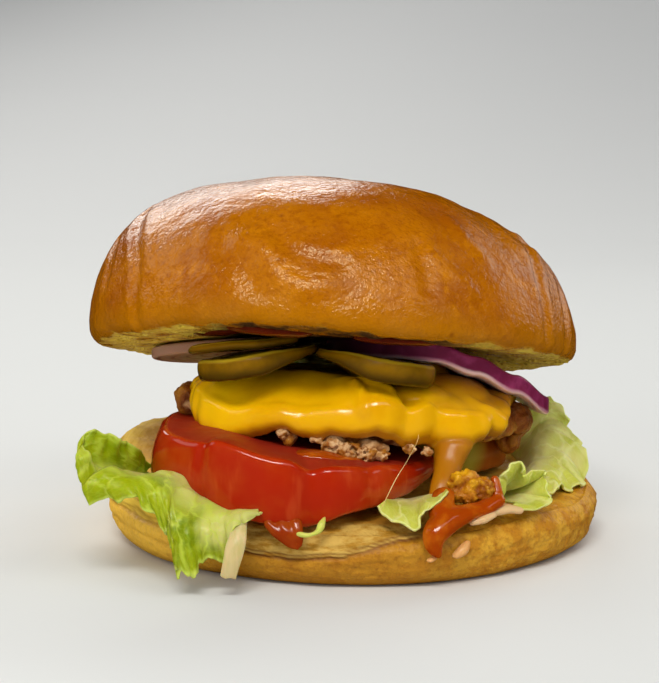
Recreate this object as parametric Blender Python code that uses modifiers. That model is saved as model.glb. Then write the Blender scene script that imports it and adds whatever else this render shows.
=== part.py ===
"""A chicken burger: bun heel, lettuce, tomato, fried chicken, melted cheese, pickles, red onion and bun crown.

Run with: blender --background --python part.py
All sizes below are in millimetres. The origin is on the table, under the middle of the burger's box,
and BURGER_AT shifts the pieces there. The front of the burger faces -Y.
"""

import math

import bmesh
import bpy
from mathutils import Vector, noise

MM = 0.001
GAP = 0.4  # left between pieces that rest on each other
BURGER_AT = (-2.0, 1.1)

# The bun. Its heel is cut thinner at the front, and its crown leans back and a little to the right.
HEEL_RADIUS = 56.0
HEEL_CENTRE = (3.9, 0.0)
HEEL_HEIGHT = 14.8
HEEL_RISE_TO_BACK = 0.10
HEEL_FALL_TO_RIGHT = 0.045
CROWN_RADIUS = 56.6
CROWN_CENTRE = (-1.2, 0.0, 41.1)
CROWN_HEIGHT = 39.3
CROWN_LEAN_BACK = math.radians(13.4)
CROWN_LEAN_RIGHT = math.radians(2.5)
CROWN_HOLLOW = 4.6  # how far the crumb is pressed up in the middle of its cut face

# The fillings
PATTY_CENTRE = (3.0, -1.5)
PATTY_RADIUS = 39.3
PATTY_HEIGHT = 34.9  # of its top, in the middle
PATTY_FALL_TO_BACK = 0.115
PATTY_FALL_TO_RIGHT = 0.12
PATTY_FALL_TO_LEFT = 0.06
CHEESE_THICKNESS = 2.2
CHEESE_CORNER = 6.0  # radius of the fold at the patty's edge
TOMATO_CENTRE = (-10.5, -24.0)
TOMATO_RADII = (31.5, 31.0)
SIDE_TOMATO_CENTRE = (27.7, 3.0)
SIDE_TOMATO_RADIUS = 14.3
SIDE_TOMATO_THICKNESS = 8.2  # at its front edge
PICKLE_RADIUS = 13.4
ONION_THICKNESS = 2.9
LEAF_THICKNESS = 1.3

COLOURS = {
    "crust": (0.46, 0.16, 0.018, 1.0),
    "heel_crust": (0.50, 0.24, 0.045, 1.0),
    "chicken": (0.36, 0.14, 0.035, 1.0),
    "cheese": (0.80, 0.37, 0.008, 1.0),
    "tomato": (0.50, 0.035, 0.012, 1.0),
    "pickle": (0.21, 0.17, 0.014, 1.0),
    "onion": (0.24, 0.035, 0.09, 1.0),
    "lettuce": (0.36, 0.52, 0.035, 1.0),
    "rib": (0.68, 0.60, 0.32, 1.0),
}
ROUGHNESS = {"crust": 0.3, "cheese": 0.25, "tomato": 0.2, "pickle": 0.3}


def clear_scene():
    for old in list(bpy.data.objects):
        bpy.data.objects.remove(old)


def material(name):
    found = bpy.data.materials.get(name)
    if found:
        return found
    made = bpy.data.materials.new(name)
    made.use_nodes = True
    shader = made.node_tree.nodes["Principled BSDF"]
    shader.inputs["Base Color"].default_value = COLOURS[name]
    shader.inputs["Roughness"].default_value = ROUGHNESS.get(name, 0.55)
    shader.inputs["Metallic"].default_value = 0.0
    made.diffuse_color = COLOURS[name]
    return made


def place(name, mesh, finish, location=(0.0, 0.0, 0.0), rotation=(0.0, 0.0, 0.0)):
    """Puts a mesh in the burger's collection as the object called name. location is in millimetres."""
    piece = bpy.data.objects.new(name, mesh)
    bpy.data.collections["chicken_burger"].objects.link(piece)
    piece.parent = bpy.data.objects["burger"]
    piece.location = Vector(location) * MM
    piece.rotation_euler = rotation
    mesh.materials.append(material(finish))
    mesh.shade_smooth()
    return piece


def ripple(angle, waves):
    """A sum of cosines round the clock. waves holds (count, size, phase)."""
    return sum(size * math.cos(count * angle + phase) for count, size, phase in waves)


def lump(x, y, z, size):
    """Smooth unevenness between about -0.5 and 0.5, with bumps about size across."""
    return noise.noise(Vector((x, y, z)) / size)


def smooth_ramp(value, width):
    """0 for values well below 0 and the value itself well above, with a soft bend over width."""
    return width * math.log1p(math.exp(max(-40.0, min(40.0, value / width))))


def smooth_step(value):
    value = max(0.0, min(1.0, value))
    return value * value * (3.0 - 2.0 * value)


def along(values, share):
    """Reads a short list of evenly spaced values at a share from 0 to 1, with soft steps between them."""
    at = max(0.0, min(0.99999, share)) * (len(values) - 1)
    step = int(at)
    return values[step] + (values[step + 1] - values[step]) * smooth_step(at - step)


# Heights of the layers over the table, from the bottom up


def heel_top(x, y):
    rise = HEEL_RISE_TO_BACK * (y - HEEL_CENTRE[1])
    return HEEL_HEIGHT + rise - HEEL_FALL_TO_RIGHT * (x - HEEL_CENTRE[0])


def tomato_top(x, y):
    return 25.3 - 0.1525 * x - 0.019 * y


def tomato_bottom(x, y):
    lowest_at = -6.0
    return 13.1 + 0.05 * (y + 54.0) + (0.14 * (lowest_at - x) if x < lowest_at else 0.15 * (x - lowest_at))


def side_tomato_bottom(x, y):
    return 15.7 + 0.03 * (y + 11.0)


def patty_bottom(x, y):
    return 24.5 + 0.155 * smooth_ramp(12.0 - x, 3.0) - 0.05 * y


def patty_top(x, y):
    fall = PATTY_FALL_TO_BACK * y + 0.05 * smooth_ramp(y, 4.0)
    fall += PATTY_FALL_TO_RIGHT * smooth_ramp(x + 2.0, 4.0) + PATTY_FALL_TO_LEFT * smooth_ramp(-10.0 - x, 3.0)
    return PATTY_HEIGHT - fall + 0.8 * lump(x, y, 3.0, 17.0)


def crown_bottom(x, y):
    """The cut face of the crown, without its hollow."""
    back = math.tan(CROWN_LEAN_BACK) * (y - CROWN_CENTRE[1])
    return CROWN_CENTRE[2] - back - math.tan(CROWN_LEAN_RIGHT) * (x - CROWN_CENTRE[0])


# Ways to make a shape


def turned(name, profile, steps):
    """A mesh from a profile of (radius, height), from the top down, swept round Z with a Screw modifier."""
    outline = bpy.data.meshes.new(name)
    form = bmesh.new()
    points = [form.verts.new((radius * MM, 0.0, height * MM)) for radius, height in profile]
    for upper, lower in zip(points, points[1:]):
        form.edges.new((upper, lower))
    form.to_mesh(outline)
    form.free()
    turner = bpy.data.objects.new(name + "_profile", outline)
    bpy.context.scene.collection.objects.link(turner)
    screw = turner.modifiers.new("Screw", "SCREW")
    screw.steps = screw.render_steps = steps
    screw.use_merge_vertices = True
    screw.merge_threshold = 0.00005
    mesh = bpy.data.meshes.new_from_object(turner.evaluated_get(bpy.context.evaluated_depsgraph_get()))
    bpy.data.objects.remove(turner)
    bpy.data.meshes.remove(outline)
    mesh.name = name
    return mesh


def moved(mesh, move):
    """Moves each point of a mesh with move, a function of its place in millimetres."""
    for vertex in mesh.vertices:
        vertex.co = Vector(move(*(vertex.co / MM))) * MM
    mesh.update()
    return mesh


def ball(name, segments, rings, move):
    """A closed form from a UV sphere. move turns an angle round Z and a latitude into a place."""
    form = bmesh.new()
    bmesh.ops.create_uvsphere(form, u_segments=segments, v_segments=rings, radius=1.0)
    for vertex in form.verts:
        latitude = math.asin(max(-1.0, min(1.0, vertex.co.z)))
        vertex.co = Vector(move(math.atan2(vertex.co.y, vertex.co.x), latitude)) * MM
    mesh = bpy.data.meshes.new(name)
    form.to_mesh(mesh)
    form.free()
    return mesh


def slab(centre, outline, top, bottom, squareness=0.5):
    """The move of a ball that makes it a slab between two heights. A lower squareness gives a squarer edge."""

    def move(angle, latitude):
        radius = outline(angle) * math.cos(latitude) ** squareness
        x = centre[0] + radius * math.cos(angle)
        y = centre[1] + radius * math.sin(angle)
        middle = (top(x, y) + bottom(x, y)) / 2
        half = (top(x, y) - bottom(x, y)) / 2
        return x, y, middle + math.copysign(half * abs(math.sin(latitude)) ** squareness, latitude)

    return move


def sheet(name, columns, rows, point, closed_round=False):
    """A sheet. point turns two shares, across and out, into a place; closed_round joins its two sides."""
    form = bmesh.new()
    bmesh.ops.create_grid(form, x_segments=columns, y_segments=rows, size=0.5)
    for vertex in form.verts:
        vertex.co = Vector(point(vertex.co.x + 0.5, vertex.co.y + 0.5)) * MM
    if closed_round:
        bmesh.ops.remove_doubles(form, verts=form.verts, dist=0.00002)
        bmesh.ops.recalc_face_normals(form, faces=form.faces)
    mesh = bpy.data.meshes.new(name)
    form.to_mesh(mesh)
    form.free()
    return mesh


def thicken(piece, thickness, offset):
    wall = piece.modifiers.new("Thickness", "SOLIDIFY")
    wall.thickness = thickness * MM
    wall.offset = offset
    wall.use_even_offset = False
    return piece


# The pieces


def make_heel():
    def move(x, y, z):
        angle = math.atan2(y, x)
        uneven = 1.0 + ripple(angle, ((2, 0.008, 0.4), (3, 0.010, 1.9), (5, 0.006, 0.7)))
        x, y = x * uneven, y * uneven
        height = heel_top(x + HEEL_CENTRE[0], y + HEEL_CENTRE[1]) / HEEL_HEIGHT
        return x, y, z * height

    r, h = HEEL_RADIUS, HEEL_HEIGHT
    cut_face = ((0.0, h), (r * 0.5, h), (r * 0.8, h), (r * 0.92, h * 0.96), (r * 0.97, h * 0.87))
    side = ((r * 0.985, h * 0.78), (r, h * 0.66), (r * 0.995, h * 0.4), (r * 0.965, h * 0.14))
    profile = (*cut_face, *side, (r * 0.92, h * 0.02), (r * 0.88, 0.0), (0.0, 0.0))
    mesh = moved(turned("bun_heel", profile, 44), move)
    return place("bun_heel", mesh, "heel_crust", (*HEEL_CENTRE, 0.0))


def crown_rim_rise(angle):
    """How far the cut edge lifts at the front left, where the fillings push it up."""
    off = (math.degrees(angle) + 112.0) / 30.0
    return 1.8 * math.exp(-off * off)


def make_crown():
    r, h = CROWN_RADIUS, CROWN_HEIGHT

    def move(x, y, z):
        angle, radius = math.atan2(y, x), math.hypot(x, y)
        share = max(0.0, min(1.0, z / h))
        right = max(0.0, x / r)
        uneven = 1.0 + ripple(angle, ((3, 0.006, 0.3), (7, 0.004, 1.1))) - 0.01 * max(0.0, -x / r)
        rise = crown_rim_rise(angle) * (1.0 - share) ** 3 * (radius / r) ** 3
        fall = 0.044 * z * right * right
        dent = 1.2 * share * lump(x, y, z, 22.0)
        hollow = CROWN_HOLLOW * (1.0 - smooth_step(radius / (0.93 * r))) if z < 0.5 else 0.0
        return x * uneven - 0.06 * z, y * uneven, z + rise - fall + dent + hollow

    turns = [math.radians(90.0 - 9.0 * step) for step in range(10)]
    dome = [(r * math.cos(turn) ** 0.763, h * math.sin(turn) ** 0.915) for turn in turns]
    dome[0] = (0.0, h)
    rim = ((r * 0.995, h * 0.07), (r * 0.975, 0.5), (r * 0.945, 0.0))
    profile = (*dome, *rim, (r * 0.6, 0.0), (r * 0.3, 0.0), (0.0, 0.0))
    mesh = moved(turned("bun_crown", profile, 44), move)
    return place("bun_crown", mesh, "crust", CROWN_CENTRE, (-CROWN_LEAN_BACK, CROWN_LEAN_RIGHT, 0.0))


def patty_outline(angle):
    return PATTY_RADIUS + ripple(angle, ((2, 0.9, 0.2), (3, 1.1, 1.2), (5, 0.8, 2.2), (9, 0.5, 0.4)))


def make_patty():
    mesh = ball("chicken_patty", 36, 13, slab(PATTY_CENTRE, patty_outline, patty_top, patty_bottom))
    return place("chicken_patty", mesh, "chicken")


def make_nub():
    """The lump of fried coating that has come away at the front right."""
    centre, radii = (27.2, -43.8, 19.4), (7.2, 4.6, 4.2)

    def move(angle, latitude):
        flat = math.cos(latitude)
        way = Vector((math.cos(angle) * flat, math.sin(angle) * flat, math.sin(latitude)))
        size = 1.0 + 0.35 * lump(*(way * 10.0), 9.0)
        return [middle + radius * size * part for middle, radius, part in zip(centre, radii, way)]

    return place("chicken_nub", ball("chicken_nub", 16, 9, move), "chicken")


def cheese_drop(angle):
    """How far the melted slice hangs below its fold, read every 10 degrees from the left, over the front.

    Below 0 the slice ends before the fold, on top of the patty.
    """
    left = (-10.4, -9.6, -8.0, -4.8, 0.0, 2.2, 4.6)
    front = (3.6, 4.0, 4.6, 5.2, 10.0, 9.5, 5.0, 4.4, 2.5, 0.5, -1.0)
    right = (-2.0, -2.0, -1.0, 0.0, 1.0, 2.0, 1.5, -0.5, -1.0)
    back = (-1.5, -2.0, -2.5, -2.0, -1.5, -2.0, -4.5, -7.5, -9.5)
    share = (math.degrees(angle) + 180.0) / 360.0
    return along((*left, *front, *right, *back, left[0]), share)


def make_cheese():
    def point(across, out):
        angle = 2.0 * math.pi * (across - 0.5)
        flat = patty_outline(angle) + 2.0 - CHEESE_CORNER
        fold = CHEESE_CORNER * math.pi / 2
        length = out**0.9 * (flat + fold + cheese_drop(angle))
        turn = max(0.0, min(1.0, (length - flat) / fold)) * math.pi / 2
        radius = min(length, flat) + CHEESE_CORNER * math.sin(turn)
        down = CHEESE_CORNER * (1.0 - math.cos(turn)) + max(0.0, length - flat - fold)
        x = PATTY_CENTRE[0] + radius * math.cos(angle)
        y = PATTY_CENTRE[1] + radius * math.sin(angle)
        return x, y, patty_top(x, y) + GAP + 1.5 - down

    mesh = sheet("cheese_slice", 44, 10, point, closed_round=True)
    return thicken(place("cheese_slice", mesh, "cheese"), CHEESE_THICKNESS, 1.0)


def make_tomatoes():
    def outline(angle):
        across, along_y = TOMATO_RADII
        ellipse = 1.0 / math.hypot(math.cos(angle) / across, math.sin(angle) / along_y)
        return ellipse * (1.0 + ripple(angle, ((5, 0.012, 0.3), (7, 0.008, 0.0))))

    front = ball("tomato_front", 36, 9, slab(TOMATO_CENTRE, outline, tomato_top, tomato_bottom, 0.32))
    place("tomato_front", front, "tomato")

    def side_top(x, y):
        return side_tomato_bottom(x, y) + SIDE_TOMATO_THICKNESS - 0.06 * (y + 11.0)

    def side_outline(angle):
        return SIDE_TOMATO_RADIUS + ripple(angle, ((3, 0.5, 0.0), (5, 0.4, 1.0)))

    move = slab(SIDE_TOMATO_CENTRE, side_outline, side_top, side_tomato_bottom, 0.32)
    place("tomato_side", ball("tomato_side", 26, 8, move), "tomato")


def make_pickles():
    """Three slices: two stacked at the front left, and one at the front right that leans the other way."""
    for name, radius, thickness, centre, rise_to_front, roll in (
        ("pickle_left_lower", PICKLE_RADIUS, 4.0, (-18.0, -29.3, 44.8), 0.125, -1.5),
        ("pickle_left_upper", PICKLE_RADIUS - 1.6, 2.0, (-20.3, -29.4, 48.6), 0.175, -2.6),
        ("pickle_right", PICKLE_RADIUS - 0.4, 2.9, (8.6, -31.7, 44.1), 0.15, 9.0),
    ):
        form = bmesh.new()
        size = {"depth": thickness * MM, "radius1": radius * MM, "radius2": radius * MM}
        bmesh.ops.create_cone(form, cap_ends=True, segments=24, **size)
        mesh = bpy.data.meshes.new(name)
        form.to_mesh(mesh)
        form.free()
        piece = place(name, mesh, "pickle", centre, (-math.atan(rise_to_front), math.radians(roll), 0.0))
        edge = piece.modifiers.new("Edge", "BEVEL")
        edge.width = 0.9 * MM
        edge.segments = 1
        edge.limit_method = "ANGLE"


def make_onions():
    """Two slices: one at the left back, and one at the right that droops over the cheese's edge."""

    def crown_over(x, y):
        reach = math.hypot(x - CROWN_CENTRE[0], y) / (0.93 * CROWN_RADIUS)
        return crown_bottom(x, y) + CROWN_HOLLOW * (1.0 - smooth_step(reach))

    def right_top(x, y):
        share = (x + 6.0) / 54.0
        front = along((49.7, 49.7, 49.6, 48.5, 45.3, 41.1, 34.6), share)
        lean = along((0.12, 0.12, 0.14, 0.18, 0.19, 0.08, 0.0), share) * (y + 36.0)
        return front - lean - along((0.12, 0.12, 0.12, 0.07, 0.0, 0.0, 0.0), share) * smooth_ramp(y + 16.0, 2.0)

    def right_bottom(x, y):
        return right_top(x, y) - ONION_THICKNESS

    def left_top(x, y):
        return crown_over(x, y) - GAP - 0.3

    def left_bottom(x, y):
        return left_top(x, y) - ONION_THICKNESS

    right = ball("onion_right", 32, 8, slab((23.0, -11.0), lambda angle: 25.3, right_top, right_bottom, 0.32))
    place("onion_right", right, "onion")
    left = ball("onion_left", 28, 8, slab((-26.5, 3.0), lambda angle: 16.8, left_top, left_bottom, 0.32))
    place("onion_left", left, "onion")


def make_leaf(name, columns, root_radius, root_angles, tips, rises, ruffle, arches=(0.0, 0.0)):
    """A leaf that starts between the layers, at root_radius from the heel's middle, and reaches over the rim.

    Angles are in degrees, from +X. tips holds (angle, radius) from side to side, rises how far the tip is above
    the root, ruffle the size and number of its waves, and arches how far the leaf is raised halfway out.
    """
    tip_angles, tip_radii = zip(*tips)

    def point(across, out):
        root_angle = root_angles[0] + (root_angles[1] - root_angles[0]) * across
        angle = math.radians(root_angle + (along(tip_angles, across) - root_angle) * out)
        radius = root_radius + (along(tip_radii, across) - root_radius) * out
        x = HEEL_CENTRE[0] + radius * math.cos(angle)
        y = HEEL_CENTRE[1] + radius * math.sin(angle)
        root_x = HEEL_CENTRE[0] + root_radius * math.cos(angle)
        root_y = HEEL_CENTRE[1] + root_radius * math.sin(angle)
        over_rim = 1.2 + 2.6 * math.sin(math.pi * min(1.0, out * 1.1)) ** 2
        over_rim += along(arches, across) * math.sin(math.pi * out**1.1)
        size, count = ruffle
        wave = size * out * out * math.sin(2.0 * math.pi * count * across + 0.8)
        return x, y, heel_top(root_x, root_y) + over_rim + along(rises, across) * out**1.8 + wave

    return thicken(place(name, sheet(name, columns, 7, point), "lettuce"), LEAF_THICKNESS, 0.0)


def make_lettuce():
    tips = ((-147, 71), (-140, 74), (-134, 68), (-126, 71.5), (-120, 71), (-117, 67))
    make_leaf("lettuce_left", 18, 39.0, (-163, -116), tips, (15.0, 6.0, -1.0, -6.5, -10.0, -7.0), (1.2, 2.5))
    tips = ((-82, 51), (-75, 55), (-67, 50))
    make_leaf("lettuce_front", 8, 38.0, (-88, -66), tips, (1.6, 0.4, 4.0), (0.8, 1.5))
    tips = ((-53, 46), (-44, 54), (-35, 52))
    make_leaf("lettuce_right", 10, 41.0, (-58, -30), tips, (10.0, 3.0, 8.0), (1.4, 2.0))
    tips, arches = ((-27, 50), (-12, 56), (12, 56), (32, 55), (56, 55.5)), (9.0, 10.5, 9.0, 5.0, 1.0)
    make_leaf("lettuce_back_right", 18, 43.0, (-26, 60), tips, (2.0, -1.0, 3.0, 1.0, 0.5), (1.3, 4.5), arches)
    tips = ((80, 57), (98, 60), (122, 59), (148, 54))
    make_leaf("lettuce_back", 14, 28.0, (78, 150), tips, (1.0, 3.5, 0.5, 2.5), (1.0, 4.0), (1.3, 1.3))


def make_rib():
    """The pale cut rib of the left leaf, which hangs down in front of the heel."""
    form = bmesh.new()
    bmesh.ops.create_cube(form, size=1.0)
    upright = [edge for edge in form.edges if abs(edge.verts[0].co.z - edge.verts[1].co.z) > 0.5]
    bmesh.ops.subdivide_edges(form, edges=upright, cuts=4)
    for vertex in form.verts:
        down = 0.5 - vertex.co.z
        x = -21.6 + 3.9 * vertex.co.x * (1.0 - 0.1 * down) - 1.6 * down
        y = -57.6 + 1.4 * vertex.co.y - 3.4 * math.sin(down * 1.9)
        vertex.co = Vector((x, y, 17.4 - 12.8 * down)) * MM
    mesh = bpy.data.meshes.new("lettuce_rib")
    form.to_mesh(mesh)
    form.free()
    return place("lettuce_rib", mesh, "rib")


def build():
    clear_scene()
    pieces = bpy.data.collections.new("chicken_burger")
    bpy.context.scene.collection.children.link(pieces)
    whole = bpy.data.objects.new("burger", None)
    whole.location = Vector((*BURGER_AT, 0.0)) * MM
    pieces.objects.link(whole)
    make_heel()
    make_lettuce()
    make_rib()
    make_tomatoes()
    make_patty()
    make_nub()
    make_cheese()
    make_pickles()
    make_onions()
    make_crown()


build()
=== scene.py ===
import math
import random

import bmesh
import bpy
from mathutils import Euler, Matrix, Vector, noise


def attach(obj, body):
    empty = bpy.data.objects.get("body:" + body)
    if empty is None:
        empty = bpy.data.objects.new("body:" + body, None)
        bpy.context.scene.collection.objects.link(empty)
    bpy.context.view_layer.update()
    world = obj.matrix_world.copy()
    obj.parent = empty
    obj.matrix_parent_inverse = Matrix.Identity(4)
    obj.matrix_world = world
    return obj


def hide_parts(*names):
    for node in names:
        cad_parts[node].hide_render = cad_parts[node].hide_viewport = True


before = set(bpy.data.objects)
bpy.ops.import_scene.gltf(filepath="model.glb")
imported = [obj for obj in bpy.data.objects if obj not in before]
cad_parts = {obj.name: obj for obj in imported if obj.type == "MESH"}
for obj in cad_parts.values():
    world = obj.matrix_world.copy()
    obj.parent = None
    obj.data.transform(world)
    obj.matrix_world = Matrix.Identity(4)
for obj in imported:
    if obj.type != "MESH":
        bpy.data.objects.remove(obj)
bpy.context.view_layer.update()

mm = 0.001
burgerAt = Vector((-2.0, 1.1, 0.0))  # mm, from the burger's own axes to the frame's
print("frame loaded")


# small tools for shapes; all of them work in millimetres on the burger's own axes

def lump(x, y, z, size, seed=0.0):
    return noise.noise(Vector((x / size + seed, y / size - seed, z / size)))


def hump(value, centre, width):
    return math.exp(-(((value - centre) / width) ** 2))


def smoothStep(value, low=0.0, high=1.0):
    share = max(0.0, min(1.0, (value - low) / (high - low)))
    return share * share * (3.0 - 2.0 * share)


def smoothRamp(value, width):
    return width * math.log1p(math.exp(max(-40.0, min(40.0, value / width))))


def along(values, share):
    at = max(0.0, min(0.99999, share)) * (len(values) - 1)
    step = int(at)
    return values[step] + (values[step + 1] - values[step]) * smoothStep(at - step)


def vectors(points):
    return [Vector(point) for point in points]


def curveThrough(points, share):
    # a soft curve through a few points, numbers or vectors alike
    at = max(0.0, min(0.99999, share)) * (len(points) - 1)
    step = int(at)
    t = at - step
    a, b = points[max(0, step - 1)], points[step]
    c, d = points[step + 1], points[min(len(points) - 1, step + 2)]
    square, cube = a * 2 - b * 5 + c * 4 - d, b * 3 - a - c * 3 + d
    return (b * 2 + (c - a) * t + square * t * t + cube * t**3) * 0.5


def readAt(table, value):
    # a table of (where, what), read at value with soft steps
    for (a, low), (b, high) in zip(table, table[1:]):
        if value <= b:
            return low + (high - low) * smoothStep(value, a, b)
    return table[-1][1]


def finished(name, form, finish, slot, *replaced):
    # turns a bmesh in millimetres into a piece in metres, with its place in its mesh
    bmesh.ops.recalc_face_normals(form, faces=form.faces)
    for vertex in form.verts:
        vertex.co = (vertex.co + burgerAt) * mm
    mesh = bpy.data.meshes.new(name)
    form.to_mesh(mesh)
    form.free()
    mesh.shade_smooth()
    mesh.materials.append(finish)
    piece = bpy.data.objects.new(name, mesh)
    bpy.context.scene.collection.objects.link(piece)
    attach(piece, "root")
    if replaced:
        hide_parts(*replaced)
    return piece


def remeshed(form, voxel, rounds):
    # one closed skin round everything in form, softened; the form comes back in millimetres
    mesh = bpy.data.meshes.new("draft")
    form.to_mesh(mesh)
    form.free()
    draft = bpy.data.objects.new("draft", mesh)
    bpy.context.scene.collection.objects.link(draft)
    skin = draft.modifiers.new("Skin", "REMESH")
    skin.mode = "VOXEL"
    skin.voxel_size = voxel
    if rounds:
        soft = draft.modifiers.new("Soft", "SMOOTH")
        soft.factor = 0.5
        soft.iterations = rounds
    done = bpy.data.meshes.new_from_object(draft.evaluated_get(bpy.context.evaluated_depsgraph_get()))
    bpy.data.objects.remove(draft)
    bpy.data.meshes.remove(mesh)
    fresh = bmesh.new()
    fresh.from_mesh(done)
    bpy.data.meshes.remove(done)
    fresh.normal_update()
    return fresh


def addBlob(form, place, radii, turn=(0.0, 0.0, 0.0), finer=3):
    made = bmesh.ops.create_icosphere(form, subdivisions=finer, radius=1.0)
    angles = Euler([math.radians(angle) for angle in turn])
    shape = Matrix.LocRotScale(Vector(place), angles, Vector(radii))
    bmesh.ops.transform(form, matrix=shape, verts=made["verts"])


def blobPath(form, stops, count):
    # blobs along a soft curve; a stop is (x, y, z, width, height)
    rows = vectors(stops)
    for step in range(count):
        x, y, z, wide, high = curveThrough(rows, step / (count - 1))
        addBlob(form, (x, y, z), (wide, wide, high), finer=2)


def turnedForm(profile, steps):
    # a profile of (radius, height), spun round Z and closed
    form = bmesh.new()
    points = [form.verts.new((radius, 0.0, height)) for radius, height in profile]
    edges = [form.edges.new(pair) for pair in zip(points, points[1:])]
    bmesh.ops.spin(form, geom=points + edges, cent=(0, 0, 0), axis=(0, 0, 1), angle=2 * math.pi,
                   steps=steps, use_merge=True)
    bmesh.ops.remove_doubles(form, verts=form.verts, dist=0.001)
    bmesh.ops.recalc_face_normals(form, faces=form.faces)
    return form


def slabForm(centre, outline, top, bottom, fillet, steps=200, rings=18, turns=6):
    # a slab between two heights; outline gives its radius by angle, fillet rounds its edge
    radius, thick = 20.0, max(2.05 * fillet, 4.0)
    inner, half = radius - fillet, thick / 2
    profile = [(inner * step / rings, half) for step in range(rings)]
    profile += [(inner + fillet * math.sin(a), half - fillet + fillet * math.cos(a))
                for a in [math.pi / 2 * step / turns for step in range(turns + 1)]]
    profile += [(radius, (half - fillet) * (1 - 2 * step / turns)) for step in range(1, turns)]
    profile += [(r, -z) for r, z in reversed(profile[:rings + turns + 1])]
    form = turnedForm(profile, steps)
    for vertex in form.verts:
        x, y, z = vertex.co
        angle, reach = math.atan2(y, x), math.hypot(x, y)
        edge = outline(angle)
        if reach > inner:  # the fillet keeps its size however wide the slab is
            reach = edge - (radius - reach)
        else:
            reach *= (edge - fillet) / inner
        x, y = centre[0] + reach * math.cos(angle), centre[1] + reach * math.sin(angle)
        high, low = top(x, y), bottom(x, y)
        if abs(z) > half - fillet:
            z = high - (half - z) if z > 0 else low + (half + z)
        else:
            z = (high + low) / 2 + ((high - low) / 2 - fillet) * z / max(0.01, half - fillet)
        vertex.co = Vector((x, y, z))
    form.normal_update()
    return form


def swell(form, amount):
    # pushes each vertex along its normal by amount(vertex)
    form.normal_update()
    moves = [(vertex, vertex.normal * amount(vertex)) for vertex in form.verts]
    for vertex, move in moves:
        vertex.co += move
    form.normal_update()


def newLayers(form, *names):
    # float attributes on the points, read by the materials
    return [form.verts.layers.float.new(name) for name in names]


def mark(form, name, value):
    # fills one of them from value(vertex)
    layer, = newLayers(form, name)
    for vertex in form.verts:
        vertex[layer] = value(vertex)


def lineDistance(point, line):
    best = 1e9
    for a, b in zip(line, line[1:]):
        way = b - a
        share = max(0.0, min(1.0, (point - a).dot(way) / way.length_squared))
        best = min(best, (point - a - way * share).length)
    return best


# small tools for materials

def feed(tree, socket, value):
    if isinstance(value, bpy.types.NodeSocket):
        tree.links.new(value, socket)
    elif socket.type == "RGBA" and len(value) == 3:
        socket.default_value = (*value, 1.0)
    else:
        socket.default_value = value


def addNode(tree, kind, inputs=None, **settings):
    node = tree.nodes.new("ShaderNode" + kind)
    for name, value in settings.items():
        setattr(node, name, value)
    for name, value in (inputs or {}).items():
        feed(tree, node.inputs[name], value)
    return node


def blended(tree, factor, first, second, how="MIX"):
    inputs = {0: factor, 6: first, 7: second}
    return addNode(tree, "Mix", inputs, data_type="RGBA", blend_type=how).outputs[2]


def ranged(tree, value, low, high, newLow=0.0, newHigh=1.0):
    settings = {"Value": value, "From Min": low, "From Max": high, "To Min": newLow, "To Max": newHigh}
    return addNode(tree, "MapRange", settings, interpolation_type="SMOOTHSTEP").outputs[0]


def sums(tree, how, first, second):
    return addNode(tree, "Math", {0: first, 1: second}, operation=how).outputs[0]


def times(tree, first, second):
    return sums(tree, "MULTIPLY", first, second)


def plus(tree, first, second):
    return sums(tree, "ADD", first, second)


def noiseField(tree, place, size, detail=3.0, rough=0.55):
    settings = {"Vector": place, "Scale": 1.0 / (size * mm), "Detail": detail, "Roughness": rough}
    return addNode(tree, "TexNoise", settings).outputs["Fac"]


def attribute(tree, name):
    return addNode(tree, "Attribute", attribute_name=name).outputs["Fac"]


def stretched(tree, place, scale):
    return addNode(tree, "Mapping", {"Vector": place, "Scale": scale}).outputs[0]


def axes(tree, place):
    return addNode(tree, "SeparateXYZ", {0: place}).outputs


def newGroup(name, inputs, output):
    group = bpy.data.node_groups.new(name, "ShaderNodeTree")
    for label, kind in inputs.items():
        group.interface.new_socket(label, in_out="INPUT", socket_type="NodeSocket" + kind)
    group.interface.new_socket(name, in_out="OUTPUT", socket_type="NodeSocket" + output)
    return group, group.nodes.new("NodeGroupInput").outputs, group.nodes.new("NodeGroupOutput").inputs[0]


def mottleGroup():
    # colour that wanders between two tones
    inputs = {"Place": "Vector", "Tone": "Color", "Other tone": "Color",
              "Scale": "Float", "From": "Float", "To": "Float"}
    group, given, out = newGroup("mottle", inputs, "Color")
    settings = {"Vector": given["Place"], "Scale": given["Scale"], "Detail": 4.0, "Roughness": 0.6}
    field = addNode(group, "TexNoise", settings).outputs["Fac"]
    mask = ranged(group, field, given["From"], given["To"])
    group.links.new(blended(group, mask, given["Tone"], given["Other tone"]), out)
    return group


def pebbleGroup():
    # fine relief on two scales
    inputs = {"Place": "Vector", "Scale": "Float", "Fine scale": "Float", "Fine share": "Float"}
    group, given, out = newGroup("pebble", inputs, "Float")

    def grain(scale, detail):
        settings = {"Vector": given["Place"], "Scale": given[scale], "Detail": detail}
        return addNode(group, "TexNoise", settings).outputs["Fac"]

    coarse, fine = grain("Scale", 2.0), grain("Fine scale", 3.0)
    group.links.new(plus(group, coarse, times(group, fine, given["Fine share"])), out)
    return group


def specksGroup():
    # scattered spots, such as pores and pepper
    inputs = {"Place": "Vector", "Scale": "Float", "Share": "Float", "Size": "Float"}
    group, given, out = newGroup("specks", inputs, "Float")
    cells = addNode(group, "TexVoronoi", {"Vector": given["Place"], "Scale": given["Scale"]})
    chosen = sums(group, "LESS_THAN", cells.outputs["Color"], given["Share"])
    spot = ranged(group, cells.outputs["Distance"], given["Size"], 0.0)
    group.links.new(times(group, spot, chosen), out)
    return group


effects = {"mottle": mottleGroup(), "pebble": pebbleGroup(), "specks": specksGroup()}


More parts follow.
